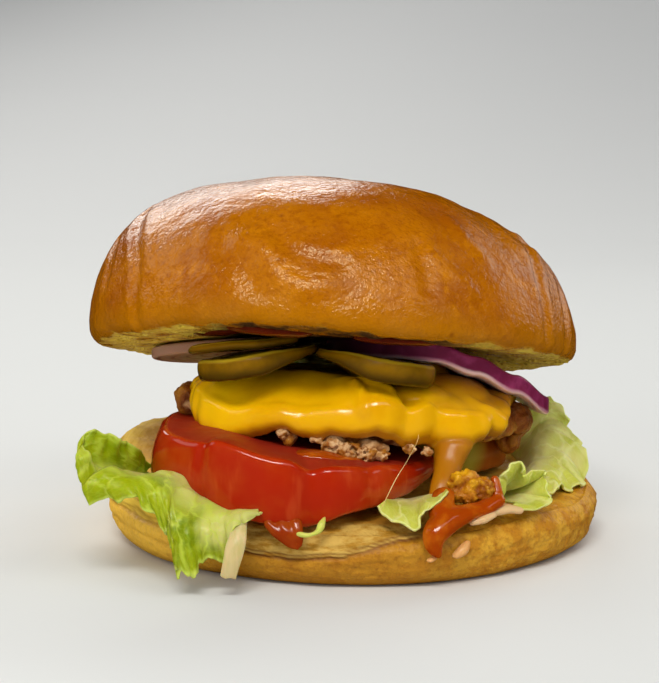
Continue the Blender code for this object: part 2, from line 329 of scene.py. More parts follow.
def useEffect(tree, name, *values):
    # the values go to the effect's inputs in their own order
    node = tree.nodes.new("ShaderNodeGroup")
    node.node_tree = effects[name]
    for socket, value in zip(node.inputs, values):
        feed(tree, socket, value)
    return node.outputs[0]


def mottled(tree, place, tone, other, scale, low, high):
    return useEffect(tree, "mottle", place, tone, other, scale, low, high)


def pebbled(tree, place, scale, fineScale, fineShare):
    return useEffect(tree, "pebble", place, scale, fineScale, fineShare)


def specked(tree, place, scale, share, size):
    return useEffect(tree, "specks", place, scale, share, size)


def startMaterial(name, gloss, **constants):
    made = bpy.data.materials.new(name)
    made.use_nodes = True
    shader = made.node_tree.nodes["Principled BSDF"]
    shader.inputs["Roughness"].default_value = gloss
    for label, value in constants.items():
        shader.inputs[label.replace("_", " ")].default_value = value
    return made, made.node_tree, shader, addNode(made.node_tree, "TexCoord").outputs["Object"]


def addBump(tree, shader, height, strength, distance):
    bump = addNode(tree, "Bump", {"Height": height, "Strength": strength, "Distance": distance * mm})
    tree.links.new(bump.outputs["Normal"], shader.inputs["Normal"])


print("tools ready")


# camera, light and table

studio = {
    "cameraAt": (-3.6, -438.9, 113.0),
    "cameraDown": 8.9,  # degrees below the horizon
    "lens": 100.8,
    "world": (0.86, 0.88, 0.90, 1.0),
    "worldStrength": 0.35,
    # the table is coloured darker towards the back and up the wall, as painted shade
    "tableTone": (0.71, 0.72, 0.71, 1.0),
    "tableToneBehind": (0.41, 0.414, 0.417, 1.0),
    "lights": (  # name, place, aim, size, power in watts, colour
        ("keyLight", (-0.27, 0.85, 0.46), (0.0, 0.0, 0.06), (0.66, 0.26), 3.0, (1.0, 0.98, 0.94)),
        ("backFill", (0.60, 0.74, 0.85), (0.0, 0.0, 0.06), (0.8, 0.4), 3.2, (1.0, 0.99, 0.97)),
        ("rimLight", (0.74, 0.60, 0.33), (0.0, 0.0, 0.06), (0.7, 0.34), 1.0, (1.0, 0.99, 0.97)),
        ("shineLight", (-0.12, -0.66, 0.78), (0.0, 0.0, 0.06), (0.42, 0.18), 4.6, (1.0, 0.98, 0.93)),
        ("veilLight", (0.29, -0.62, 0.79), (0.0, 0.0, 0.06), (1.2, 0.3), 2.4, (1.0, 0.98, 0.93)),
        ("sideVeil", (-0.86, 0.20, 0.62), (0.0, 0.0, 0.06), (0.6, 0.5), 1.2, (1.0, 0.98, 0.93)),
        ("leftFill", (-0.85, -0.95, 0.36), (0.0, 0.0, 0.04), (1.1, 0.8), 4.5, (1.0, 1.0, 1.0)),
        ("rightFill", (0.95, -0.75, 0.42), (0.0, 0.0, 0.04), (0.9, 0.7), 1.9, (1.0, 1.0, 1.0)),
    ),
}


def makeStudio():
    scene = bpy.context.scene
    scene.view_settings.view_transform = "Standard"
    eye = bpy.data.cameras.new("camera")
    eye.lens = studio["lens"]
    eye.sensor_width = 36.0
    eye.clip_start = 0.01
    camera = bpy.data.objects.new("camera", eye)
    camera.location = Vector(studio["cameraAt"]) * mm
    camera.rotation_euler = (math.radians(90.0 - studio["cameraDown"]), 0.0, 0.0)
    scene.collection.objects.link(camera)
    scene.camera = camera

    world = bpy.data.worlds.new("studio")
    world.use_nodes = True
    sky = world.node_tree.nodes["Background"]
    sky.inputs["Color"].default_value = studio["world"]
    sky.inputs["Strength"].default_value = studio["worldStrength"]
    world.cycles_visibility.glossy = False
    scene.world = world

    for name, place, aim, size, power, tone in studio["lights"]:
        lamp = bpy.data.lights.new(name, "AREA")
        lamp.shape = "RECTANGLE"
        lamp.size, lamp.size_y = size
        lamp.energy = power
        lamp.color = tone
        light = bpy.data.objects.new(name, lamp)
        light.location = place
        light.rotation_euler = (Vector(aim) - Vector(place)).to_track_quat("-Z", "Y").to_euler()
        light.visible_glossy = not name.endswith("Fill")  # the fills leave no shine of their own
        scene.collection.objects.link(light)

    # a table that curves up into the wall behind
    form = bmesh.new()
    front, turn, radius, top, halfWidth = -1.6, 0.55, 0.7, 2.4, 3.2
    bends = [math.pi / 2 * step / 16 for step in range(1, 17)]
    rail = [(front, 0.0), (turn, 0.0)]
    rail += [(turn + radius * math.sin(bend), radius - radius * math.cos(bend)) for bend in bends]
    rail.append((turn + radius, top))
    points = [form.verts.new((-halfWidth, y, z)) for y, z in rail]
    edges = [form.edges.new(pair) for pair in zip(points, points[1:])]
    swept = bmesh.ops.extrude_edge_only(form, edges=edges)["geom"]
    far = [item for item in swept if isinstance(item, bmesh.types.BMVert)]
    bmesh.ops.translate(form, vec=(2 * halfWidth, 0.0, 0.0), verts=far)
    mesh = bpy.data.meshes.new("table")
    form.to_mesh(mesh)
    form.free()
    mesh.shade_smooth()
    table = bpy.data.objects.new("table", mesh)
    scene.collection.objects.link(table)
    made, tree, shader, place = startMaterial("table", 0.75)
    shader.inputs["Specular IOR Level"].default_value = 0.2
    # painted shade: the tone darkens towards the back
    back = ranged(tree, axes(tree, place)[1], 0.10, 1.1)
    tone = blended(tree, back, studio["tableTone"], studio["tableToneBehind"])
    feed(tree, shader.inputs["Base Color"], tone)
    mesh.materials.append(made)
    table.visible_glossy = False


makeStudio()
print("studio ready")


# the bun crown

crown = {
    "radius": 56.6,
    "height": 39.3,
    "centre": Vector((-1.2, 0.0, 41.1)),
    "leanBack": 13.4,
    "leanRight": 2.5,
    "hollow": 4.6,
    "hollowEdge": 0.93,  # where the hollow of its cut face ends, as a share of the radius
    # the turn into the cut face: share of the radius, height
    "rim": ((0.9965, 2.6), (0.992, 1.7), (0.984, 0.9), (0.972, 0.35), (0.958, 0.05), (0.945, 0.0)),
    "turns": 340,
    "swells": (  # place, half width, height
        ((-34.0, 0.0, 72.0), 18.0, 1.7), ((-47.0, -4.0, 64.0), 11.0, 0.8), ((38.0, 0.0, 68.0), 14.0, 0.9),
    ),
    "creases": (  # points, half width, depth; a depth under 0 is a raised wrinkle
        (((-19.9, -41.7, 71.5), (-15.6, -44.3, 71.1), (-13.5, -48.0, 68.2), (-11.1, -50.5, 65.2),
          (-7.6, -51.8, 63.7), (-2.5, -51.4, 63.9)), 2.3, -0.62),
        (((-13.4, -41.5, 74.6), (-11.3, -44.7, 71.8), (-8.1, -46.8, 69.7), (-4.0, -47.7, 68.4),
          (1.0, -47.9, 67.6)), 1.3, 0.40),
        (((-24.0, -40.0, 70.5), (-20.0, -45.5, 67.0), (-17.0, -49.0, 63.0)), 2.0, 0.43),
        (((16.7, -41.0, 70.4), (17.7, -43.7, 66.9), (19.0, -47.4, 62.3)), 1.4, 0.62),
        (((19.4, -41.7, 69.2), (23.6, -42.6, 66.3), (28.2, -43.2, 61.8)), 1.7, -0.4),
        (((23.9, -29.1, 75.4), (27.6, -32.8, 71.6), (32.2, -34.7, 67.1)), 1.7, -0.37),
        (((33.0, -8.0, 74.0), (36.6, -13.1, 71.9), (40.5, -19.1, 67.6)), 2.4, -0.37),
        (((42.0, -8.0, 68.0), (43.2, -14.6, 65.7), (44.5, -24.5, 61.1), (45.7, -27.9, 55.0),
          (45.8, -30.1, 49.6)), 1.2, 0.68),
        (((50.2, -8.0, 60.0), (50.7, -13.8, 55.7), (50.9, -20.3, 46.5)), 1.4, 0.62),
        (((-42.5, -8.0, 73.5), (-44.0, -16.1, 71.3), (-43.4, -28.9, 66.0), (-43.7, -34.0, 58.4),
          (-43.0, -35.4, 53.9)), 1.2, 0.68),
        (((-49.0, -8.0, 68.0), (-50.6, -15.3, 64.5), (-51.5, -19.8, 59.9)), 1.4, 0.56),
        (((-40.2, -12.8, 75.0), (-40.2, -25.9, 70.5), (-39.9, -34.3, 64.9)), 1.5, -0.34),
        (((-31.0, -30.0, 75.0), (-27.5, -35.5, 73.0), (-25.0, -39.0, 71.0)), 1.6, -0.25),
    ),
}


def crownRise(angle):
    # its rim lifts a little at the front left
    return 1.8 * hump(math.degrees(angle), -112.0, 30.0)


def crownForm():
    r, h = crown["radius"], crown["height"]
    dome = []
    for step in range(0, 81):
        turn = math.radians(90.0 - step * 1.05)
        dome.append((max(0.0, r * math.cos(turn) ** 0.763) if step else 0.0, h * math.sin(turn) ** 0.915))
    rim = [(r * share, high) for share, high in crown["rim"]]
    face = [(rim[-1][0] * (1.0 - step / 40), 0.0) for step in range(1, 41)]
    form = turnedForm(dome + rim + face, crown["turns"])
    crumb, level, toast = newLayers(form, "crumb", "level", "toast")
    for vertex in form.verts:
        x, y, z = vertex.co
        angle, radius = math.atan2(y, x), math.hypot(x, y)
        # painted shade: the toast mask darkens the cut face inside the rim, partly the crumb's toasted brown
        # and partly shade under the crown; the left and right ends stay light
        middle = 1.0 - 0.9 * smoothStep(-x, 20.0, 30.0) - 0.7 * smoothStep(x, 22.0, 34.0)
        vertex[toast] = smoothStep(radius / r + 0.015 * lump(x, y, 0.0, 4.0), 0.992, 0.968) * middle
        share = max(0.0, min(1.0, z / h))
        right = max(0.0, x / r)
        uneven = 1.0 + 0.006 * math.cos(3 * angle + 0.3) + 0.004 * math.cos(7 * angle + 1.1)
        uneven -= 0.01 * max(0.0, -x / r)
        rise = crownRise(angle) * (1.0 - share) ** 3 * (radius / r) ** 3
        fall = 0.044 * z * right * right
        dent = 1.2 * share * lump(x, y, z, 22.0)
        hollow = 0.0
        if z < 0.02:  # the cut face
            hollow = crown["hollow"] * (1.0 - smoothStep(radius / (crown["hollowEdge"] * r)))
        ragged = 0.5 * lump(x, y, 0.0, 5.0) + 0.25 * lump(x, y, 0.0, 1.9)
        vertex[level] = z
        vertex[crumb] = smoothStep(0.3 - z + 0.8 * ragged, 0.0, 0.4)
        z += ragged * hump(z, 0.0, 1.5) * (radius / r) ** 8
        vertex.co = Vector((x * uneven - 0.06 * z, y * uneven, z + rise - fall + dent + hollow))
    turn = Euler((-math.radians(crown["leanBack"]), math.radians(crown["leanRight"]), 0.0)).to_matrix()
    for vertex in form.verts:
        vertex.co = turn @ vertex.co + crown["centre"]
    return form


def makeCrown(finish):
    form = crownForm()
    crumb = form.verts.layers.float["crumb"]
    creases = [(vectors(line), wide, deep) for line, wide, deep in crown["creases"]]
    dice = random.Random(4)
    for step in range(9):  # creases round the sides and the back, which aren't seen from the front
        angle = math.radians(-8.0 + step * 24.0 + dice.uniform(-7, 7))
        line = []
        for share in (0.0, 0.5, 1.0):
            lean = angle + dice.uniform(-0.06, 0.06)
            radius = 47.0 + 9.0 * share**0.7
            x, y = radius * math.cos(lean) - 3.0, radius * math.sin(lean) + 5.0
            line.append(Vector((x, y, 66.0 - 17.0 * share)))
        creases.append((line, dice.uniform(1.4, 2.2), dice.uniform(0.5, 1.0)))

    def relief(vertex):
        x, y, z = vertex.co
        if vertex[crumb] > 0.95:
            return 0.35 * lump(x, y, z, 1.7) + 0.5 * lump(x, y, z, 5.0)
        total = 0.7 * lump(x, y, z, 24.0, 3.0) + 0.3 * lump(x, y, z, 10.0, 1.0) + 0.10 * lump(x, y, z, 3.2)
        for place, wide, high in crown["swells"]:
            total += high * hump((vertex.co - Vector(place)).length, 0.0, wide)
        for line, wide, deep in creases:
            away = lineDistance(vertex.co, line)
            if away < 4 * wide:
                total -= deep * (hump(away, 0.0, wide) - 0.35 * hump(away, 2.2 * wide, wide))
        return total

    swell(form, relief)
    finished("bunCrown", form, finish, "crust", "bun_crown")


def crustMaterial(name, tones, gloss):
    made, tree, shader, place = startMaterial(name, gloss, Specular_IOR_Level=0.42)
    shader.inputs["Specular Tint"].default_value = (1.0, 0.94, 0.62, 1.0)
    broad = mottled(tree, place, tones["mid"], tones["deep"], 45.0, 0.40, 0.66)
    fine = mottled(tree, place, broad, tones["light"], 190.0, 0.52, 0.78)
    grain = ranged(tree, noiseField(tree, place, 1.3, 4.0, 0.7), 0.46, 0.66, 0.0, 0.6)
    fine = blended(tree, grain, fine, tones["grain"])
    rim = ranged(tree, plus(tree, attribute(tree, "level"), times(tree, noiseField(tree, place, 9.0), 7.0)),
                 14.0, 2.5)
    golden = blended(tree, times(tree, rim, 0.8), fine, tones["rim"])
    pores = specked(tree, place, 420.0, 0.16, 0.40)
    pored = blended(tree, times(tree, pores, 0.6), golden, tones["pore"])
    crumbTone = mottled(tree, place, tones["crumb"], tones["crumbShade"], 380.0, 0.4, 0.68)
    # painted shade: inside the rim the cut face goes near black, with its toasted brown
    crumbTone = blended(tree, attribute(tree, "toast"), crumbTone, tones["toastAndShadeTone"])
    crumb = attribute(tree, "crumb")
    feed(tree, shader.inputs["Base Color"], blended(tree, crumb, pored, crumbTone))
    smear = noiseField(tree, place, 7.0)
    rough = ranged(tree, smear, 0.3, 0.75, gloss - 0.05, gloss + 0.12)
    feed(tree, shader.inputs["Roughness"], sums(tree, "MAXIMUM", rough, times(tree, crumb, 0.85)))
    skin = pebbled(tree, place, 650.0, 1700.0, 0.5)
    cells = specked(tree, place, 800.0, 0.6, 0.6)
    deep = times(tree, cells, times(tree, crumb, -3.0))
    addBump(tree, shader, plus(tree, skin, deep), 0.6, 0.48)
    return made


crownCrust = crustMaterial("crownCrust", {
    "mid": (0.43, 0.132, 0.0004), "deep": (0.31, 0.076, 0.0005), "light": (0.54, 0.18, 0.001),
    "rim": (0.38, 0.136, 0.001), "pore": (0.20, 0.045, 0.001), "grain": (0.27, 0.062, 0.0004),
    "crumb": (0.88, 0.66, 0.07), "crumbShade": (0.66, 0.42, 0.04), "toastAndShadeTone": (0.06, 0.022, 0.003)}, 0.18)
makeCrown(crownCrust)
print("bun crown made")


# the bun heel

heel = {
    "radius": 56.0,
    "centre": Vector((3.9, 0.0, 0.0)),
    "height": 14.8,
    "turns": 260,
    # shares of the radius and of the height
    "profile": ((0.0, 1.0), (0.4, 1.0), (0.8, 1.0), (0.9, 0.975), (0.945, 0.925), (0.97, 0.87), (0.985, 0.78),
                (1.0, 0.66), (1.0, 0.53), (0.995, 0.4), (0.985, 0.26), (0.965, 0.14), (0.925, 0.03),
                (0.88, 0.0)),
    "riseToBack": 0.10,
    "fallToRight": 0.045,
    "swells": (3.6, 1.6),  # its torn edge swells up in front and at the right
    # where the crust ends and the pale crumb begins, as a height in mm by angle in degrees
    "seam": ((-180, 9.5), (-150, 10.0), (-125, 8.4), (-112, 6.8), (-102, 6.6), (-94, 7.0), (-88, 8.4),
             (-83, 9.8), (-79, 10.5), (-74, 11.2), (-66, 11.8), (-56, 13.4), (-44, 16.5), (70, 17.5),
             (130, 13.0), (180, 9.5)),
    "folds": (  # thin folds of the crust in front: points, half width, depth, how dark the painted shade in its crease is
        (((24.2, -52.2, 11.8), (30.0, -49.5, 11.6), (37.4, -44.9, 10.8), (43.7, -39.4, 10.5)), 0.5, 0.45,
         0.5),
        (((26.3, -51.3, 13.1), (34.4, -47.0, 12.7), (44.9, -38.1, 12.0), (54.2, -24.6, 12.2)), 0.6, 0.5,
         0.4),
        (((2.4, -56.0, 0.6), (4.3, -56.0, 3.0), (7.0, -56.0, 5.6)), 0.8, 0.9, 0.6),
        (((-3.0, -56.0, 11.0), (4.0, -56.0, 12.4), (9.0, -55.5, 12.8)), 0.4, 0.4, 0.3),
        (((22.6, -53.0, 11.0), (27.0, -51.2, 12.2), (34.0, -47.4, 12.6)), 0.5, 0.5, 0.4),
        (((35.9, -46.0, 0.4), (34.6, -46.8, 2.6), (33.9, -47.3, 4.7)), 1.1, 0.9, 0.5),
        (((-17.2, -51.9, 8.5), (-9.8, -54.3, 8.3), (-1.5, -55.7, 10.2), (2.6, -56.0, 11.8)), 0.45, 0.35,
         0.7),
        (((-11.9, -53.7, 11.8), (-3.6, -55.5, 12.7), (4.7, -56.0, 13.5), (13.0, -55.3, 14.0)), 0.5, 0.35,
         0.35),
        (((-49.1, -18.1, 6.0), (-43.4, -30.0, 6.7), (-37.2, -38.0, 5.5)), 0.7, 0.5, 0.3),
        (((-50.8, -12.0, 9.1), (-44.6, -28.0, 11.2), (-40.8, -33.7, 9.9)), 0.7, 0.6, 0.5),
        (((-22.0, -50.0, 12.2), (-14.0, -53.2, 11.0), (-6.0, -55.0, 10.6)), 0.4, 0.3, 0.5),
    ),
    "curl": (160.0, 20.0, 3.2),  # where the rim curls up at the back: angle, half width in degrees, height
}


def heelTop(x, y):
    atFront, atRight = heel["swells"]
    front = atFront * smoothStep(-y, 14.0, 46.0) * smoothStep(x, -40.0, -22.0)
    front *= 1.0 - 0.25 * hump(x, -7.0, 7.0)
    level = heel["height"] + heel["riseToBack"] * y - heel["fallToRight"] * (x - heel["centre"].x)
    return level + front + atRight * smoothStep(x, 25.0, 50.0)


def heelForm():
    r, h = heel["radius"], heel["height"]
    rows = vectors((r * out, h * up) for out, up in heel["profile"])
    profile = [tuple(curveThrough(rows, step / 90)) for step in range(91)]
    profile[0], profile[-1] = rows[0].to_tuple(), rows[-1].to_tuple()
    profile = [(max(0.0, radius), min(h, max(0.0, height))) for radius, height in profile]
    profile += [(r * 0.6, 0.0), (r * 0.3, 0.0), (0.0, 0.0)]
    form = turnedForm(profile, heel["turns"])
    pale, seam, cut = newLayers(form, "pale", "seam", "crumb")
    folds = [(vectors(line), wide, deep, dark) for line, wide, deep, dark in heel["folds"]]
    for vertex in form.verts:
        x, y, z = vertex.co
        angle = math.atan2(y, x)
        uneven = 1.0 + 0.008 * math.cos(2 * angle + 0.4) + 0.010 * math.cos(3 * angle + 1.9)
        uneven += 0.006 * math.cos(5 * angle + 0.7)
        x, y = x * uneven, y * uneven
        share = z / h
        z *= heelTop(x + heel["centre"].x, y + heel["centre"].y) / h
        border = readAt(heel["seam"], math.degrees(angle)) + 0.5 * lump(x, y, 0.0, 9.0)
        border += 0.3 * lump(x, y, 0.0, 2.2)
        side = smoothStep(math.hypot(x, y) / r, 0.80, 0.92)
        vertex[pale] = smoothStep(z - border, -0.35, 0.5)
        vertex[seam] = max(hump(z, border, 0.32), 0.75 * hump(z, border + 0.9, 0.26)) * side
        vertex[seam] *= 0.55 + 0.45 * smoothStep(lump(x, y, z, 14.0, 5.0), -0.4, 0.05)
        vertex[seam] *= 1.0 - 0.8 * smoothStep(x, 10.0, 22.0) - 0.5 * smoothStep(-x, 26.0, 38.0)
        vertex[cut] = smoothStep(share, 0.975, 0.998)
        out = Vector((x, y, 0.0)).normalized()
        step = -0.6 * hump(z, border, 0.35) - 0.3 * hump(z, border + 0.85, 0.3)
        step += 0.35 * hump(z, border - 1.6, 1.3)
        step += 0.7 * hump(z, border + 3.2, 2.0) - 0.2
        ridges = 0.35 * hump(z, border + 2.2 + 0.8 * lump(x, y, 0.0, 20.0, 2.0), 0.4)
        ridges *= smoothStep(lump(x, y, 3.0, 16.0, 9.0), 0.0, 0.3)
        layered = 0.3 * hump((z + 1.5 * lump(x, y, 0.0, 14.0, 6.0)) % 2.6, 1.3, 0.4)
        ridges += layered * smoothStep(z, border, border + 1.0)
        rough = 0.6 * lump(x, y, z, 9.0, 2.0) + 0.25 * lump(x, y, z * 2.0, 2.4)
        rough += 0.12 * lump(x, y, z * 1.5, 1.1)
        low = smoothStep(z, 0.0, 2.5)
        vertex.co = Vector((x, y, z)) + out * (side * low * (step - ridges + rough)) + heel["centre"]
        for line, wide, deep, dark in folds:
            away = lineDistance(vertex.co, line)
            if away < 3 * wide:
                vertex.co -= out * (deep * hump(away, 0.0, wide) * side)
                # painted shade along the fold's crease, kept in the seam attribute
                vertex[seam] = max(vertex[seam], dark * hump(away, 0.0, 0.7 * wide))
        at, wide, rise = heel["curl"]
        curl = hump(math.degrees(angle) % 360.0, at, wide)
        curl *= smoothStep(math.hypot(x, y) / r, 0.72, 0.95) * share
        vertex.co += out * (1.3 * rise * curl)
        vertex.co.z += rise * curl
        if share > 0.9:
            vertex.co.z += 0.5 * lump(x, y, 0.0, 4.0) + 0.3 * lump(x, y, 0.0, 1.6) - 0.3
    return form


def heelMaterial():
    made, tree, shader, place = startMaterial("heelCrust", 0.55, Specular_IOR_Level=0.2)
    crust = mottled(tree, place, (0.50, 0.225, 0.014), (0.40, 0.150, 0.006), 95.0, 0.4, 0.7)
    across, _, high = axes(tree, place)
    left = (-0.024, -0.044)  # in metres; from here on the left side is painted paler, as painted light from the left
    crust = blended(tree, ranged(tree, across, *left, 0.0, 0.9), crust, (0.96, 0.56, 0.06))
    # the right side is mottled lighter and more golden: partly the crust's own golden tone, partly painted
    # light
    golden = mottled(tree, place, (0.72, 0.38, 0.03), (0.50, 0.20, 0.008), 230.0, 0.38, 0.62)
    crust = blended(tree, ranged(tree, across, 0.006, 0.030, 0.0, 0.8), crust, golden)
    grain = ranged(tree, noiseField(tree, place, 1.2, 4.0, 0.7), 0.46, 0.66, 0.0, 0.45)
    grain = times(tree, grain, ranged(tree, across, *left, 1.0, 0.4))
    crust = blended(tree, grain, crust, (0.27, 0.085, 0.004))
    low = ranged(tree, high, 0.0035, 0.0, 0.0, 0.4)
    crust = blended(tree, low, crust, (0.34, 0.12, 0.006))
    stretch = stretched(tree, place, (1.0, 1.0, 3.2))
    crumb = mottled(tree, stretch, (0.60, 0.37, 0.08), (0.42, 0.20, 0.016), 200.0, 0.42, 0.64)
    # painted light on the left: the crumb is paler there too
    crumb = blended(tree, ranged(tree, across, *left, 0.0, 0.7), crumb, (0.90, 0.60, 0.05))
    tone = blended(tree, attribute(tree, "pale"), crust, crumb)
    # the dark seam line, with the painted shade of the folds' creases
    tone = blended(tree, times(tree, attribute(tree, "seam"), 0.95), tone, (0.15, 0.04, 0.003))
    specks = specked(tree, place, 330.0, 0.13, 0.30)
    tone = blended(tree, times(tree, specks, 0.4), tone, (0.25, 0.09, 0.015))
    cut = mottled(tree, place, (0.72, 0.42, 0.06), (0.46, 0.20, 0.016), 80.0, 0.40, 0.66)
    holes = specked(tree, place, 300.0, 0.3, 0.4)
    cut = blended(tree, times(tree, holes, 0.6), cut, (0.30, 0.12, 0.01))
    tone = blended(tree, attribute(tree, "crumb"), tone, cut)
    feed(tree, shader.inputs["Base Color"], tone)
    feed(tree, shader.inputs["Roughness"], ranged(tree, attribute(tree, "pale"), 0.0, 1.0, 0.42, 0.7))
    skin = pebbled(tree, place, 420.0, 1300.0, 0.5)
    addBump(tree, shader, skin, 0.7, 0.6)
    return made


finished("bunHeel", heelForm(), heelMaterial(), "heel_crust", "bun_heel")
print("bun heel made")


# the tomato

tomato = {
    "centre": (-10.5, -24.0),
    "radii": (31.5, 31.0),
    "fillet": 1.3,
    # where its lobes meet: angle, width, depth
    "creases": ((-80.5, 5.5, 1.3), (-126.0, 3.0, 0.5), (-55.0, 3.5, 0.4)),
    "sideCentre": (26.8, 1.0),
    "sideRadius": 12.0,
    "sideThickness": 8.2,
}


def tomatoTop(x, y):
    return 25.3 - 0.1525 * x - 0.019 * y - 1.5 * smoothStep(-x, 22.0, 38.0) + 1.0 * hump(x, -24.0, 7.0)


def tomatoBottom(x, y):
    lowest = -6.0
    rise = 0.14 * (lowest - x) if x < lowest else 0.15 * (x - lowest) + 1.2 * hump(x, 2.0, 6.0)
    return 13.1 + 0.05 * (y + 54.0) + rise


def sideTomatoBottom(x, y):
    return 14.2 + 0.03 * (y + 11.0)


def creaseDepth(angle):
    return sum(size * hump(math.degrees(angle), at, wide) for at, wide, size in tomato["creases"])


def makeTomatoes(finish):
    def outline(angle):
        across, deep = tomato["radii"]
        ellipse = 1.0 / math.hypot(math.cos(angle) / across, math.sin(angle) / deep)
        uneven = 1.0 + 0.012 * math.cos(5 * angle + 0.3) + 0.008 * math.cos(7 * angle)
        return ellipse * uneven - creaseDepth(angle)

    def sideOutline(angle):
        return tomato["sideRadius"] + 0.5 * math.cos(3 * angle) + 0.4 * math.cos(5 * angle + 1.0)

    def sideTop(x, y):
        return sideTomatoBottom(x, y) + tomato["sideThickness"] - 0.06 * (y + 11.0)

    for name, node, centre, rim, top, bottom in (
        ("tomatoFront", "tomato_front", tomato["centre"], outline, tomatoTop, tomatoBottom),
        ("tomatoSide", "tomato_side", tomato["sideCentre"], sideOutline, sideTop, sideTomatoBottom),
    ):
        form = slabForm(centre, rim, top, bottom, tomato["fillet"], steps=240, rings=26, turns=8)
        flesh, shoulder = newLayers(form, "flesh", "shoulder")
        for vertex in form.verts:
            x, y, z = vertex.co
            if name == "tomatoSide":  # green near the stalk on one side, orange round to the other
                vertex[shoulder] = 0.25 + 0.75 * smoothStep(x + 1.5 * lump(x, y, z, 6.0), 34.5, 30.5)
            share = max(0.0, min(1.0, (z - bottom(x, y)) / (top(x, y) - bottom(x, y))))
            way = Vector((x - centre[0], y - centre[1], 0.0))
            angle = math.atan2(way.y, way.x)
            inside = rim(angle) - way.length
            vertex[flesh] = smoothStep(inside, 0.5, 1.5) if min(share, 1.0 - share) < 0.02 else 0.0
            near = smoothStep(inside, 6.0, 0.0)
            belly = 0.8 * math.sin(math.pi * share) * near
            shrink = 0.4 * smoothStep(way.length, 0.0, 4.0)
            vertex.co += way.normalized() * (belly + 0.5 * lump(x, y, z, 13.0) * near - shrink)
            vertex.co.z += 0.55 * lump(x, y, 0.0, 10.0) + 0.2 * lump(x, y, 0.0, 3.5)
            if name == "tomatoFront":
                vertex.co.x += 2.6 * share * smoothStep(-x, 24.0, 40.0)
            if share > 0.5 and name == "tomatoFront":
                vertex.co.z -= 1.3 * creaseDepth(angle) * near * smoothStep(share, 0.5, 0.9)
        finished(name, form, finish, "tomato", node)


def tomatoMaterial():
    made, tree, shader, place = startMaterial("tomato", 0.16, Subsurface_Weight=0.12,
                                              Subsurface_Scale=0.004, Specular_IOR_Level=0.45)
    shader.inputs["Subsurface Radius"].default_value = (1.0, 0.25, 0.12)
    skin = mottled(tree, place, (0.38, 0.015, 0.0012), (0.42, 0.036, 0.003), 55.0, 0.42, 0.66)
    streaks = stretched(tree, place, (1.0, 1.0, 0.25))
    streak = ranged(tree, noiseField(tree, streaks, 3.5), 0.56, 0.72, 0.0, 0.2)
    skin = blended(tree, streak, skin, (0.66, 0.12, 0.025))
    flesh = mottled(tree, place, (0.30, 0.012, 0.0015), (0.34, 0.018, 0.002), 150.0, 0.45, 0.7)
    skin = blended(tree, attribute(tree, "shoulder"), skin, (0.42, 0.34, 0.03))
    feed(tree, shader.inputs["Base Color"], blended(tree, attribute(tree, "flesh"), skin, flesh))
    feed(tree, shader.inputs["Roughness"], ranged(tree, attribute(tree, "flesh"), 0.0, 1.0, 0.16, 0.5))
    addBump(tree, shader, noiseField(tree, place, 2.5), 0.12, 0.4)
    return made


makeTomatoes(tomatoMaterial())
print("tomato made")


# the fried chicken

patty = {
    "centre": (3.0, -1.5),
    "radius": 39.3,
    "height": 34.9,
    "fallToBack": 0.115,
    "fallToRight": 0.12,
    # place and radii; the first two stand at its right end
    "lumps": (((41.0, -12.0, 28.0), (4.0, 5.0, 4.0)), ((42.4, -6.0, 26.6), (3.4, 5.0, 3.6)),
              ((-33.6, -13.0, 33.0), (3.4, 5.0, 3.4)), ((-0.5, -40.0, 28.6), (4.0, 2.6, 2.6)),
              ((7.0, -40.0, 27.4), (4.4, 2.6, 2.4)), ((-10.5, -39.0, 30.2), (2.4, 2.4, 2.6)),
              ((40.0, -7.0, 22.6), (3.4, 4.0, 3.8))),
    # the lump of coating at the front right
    "nub": (((25.4, -43.8, 20.4), (2.6, 2.8, 2.4)), ((28.4, -44.0, 21.0), (3.2, 2.8, 2.0)),
            ((31.4, -44.6, 19.4), (2.8, 3.0, 2.8)), ((28.0, -45.0, 18.0), (3.4, 3.0, 2.6)),
            ((31.6, -45.0, 17.2), (2.4, 2.6, 2.4)), ((25.6, -45.0, 18.4), (2.4, 2.4, 2.2))),
}


def pattyOutline(angle):
    waves = ((2, 0.9, 0.2), (3, 1.1, 1.2), (5, 0.8, 2.2), (9, 0.5, 0.4))
    return patty["radius"] + sum(size * math.cos(count * angle + phase) for count, size, phase in waves)


def pattyBottom(x, y):
    return 24.5 + 0.155 * smoothRamp(12.0 - x, 3.0) - 0.05 * y - 1.2 * smoothStep(-x, 22.0, 36.0)


def pattyTop(x, y):
    fall = patty["fallToBack"] * y + 0.05 * smoothRamp(y, 4.0)
    fall += patty["fallToRight"] * smoothRamp(x + 2.0, 4.0)
    return patty["height"] - fall + 0.8 * lump(x, y, 3.0, 17.0)


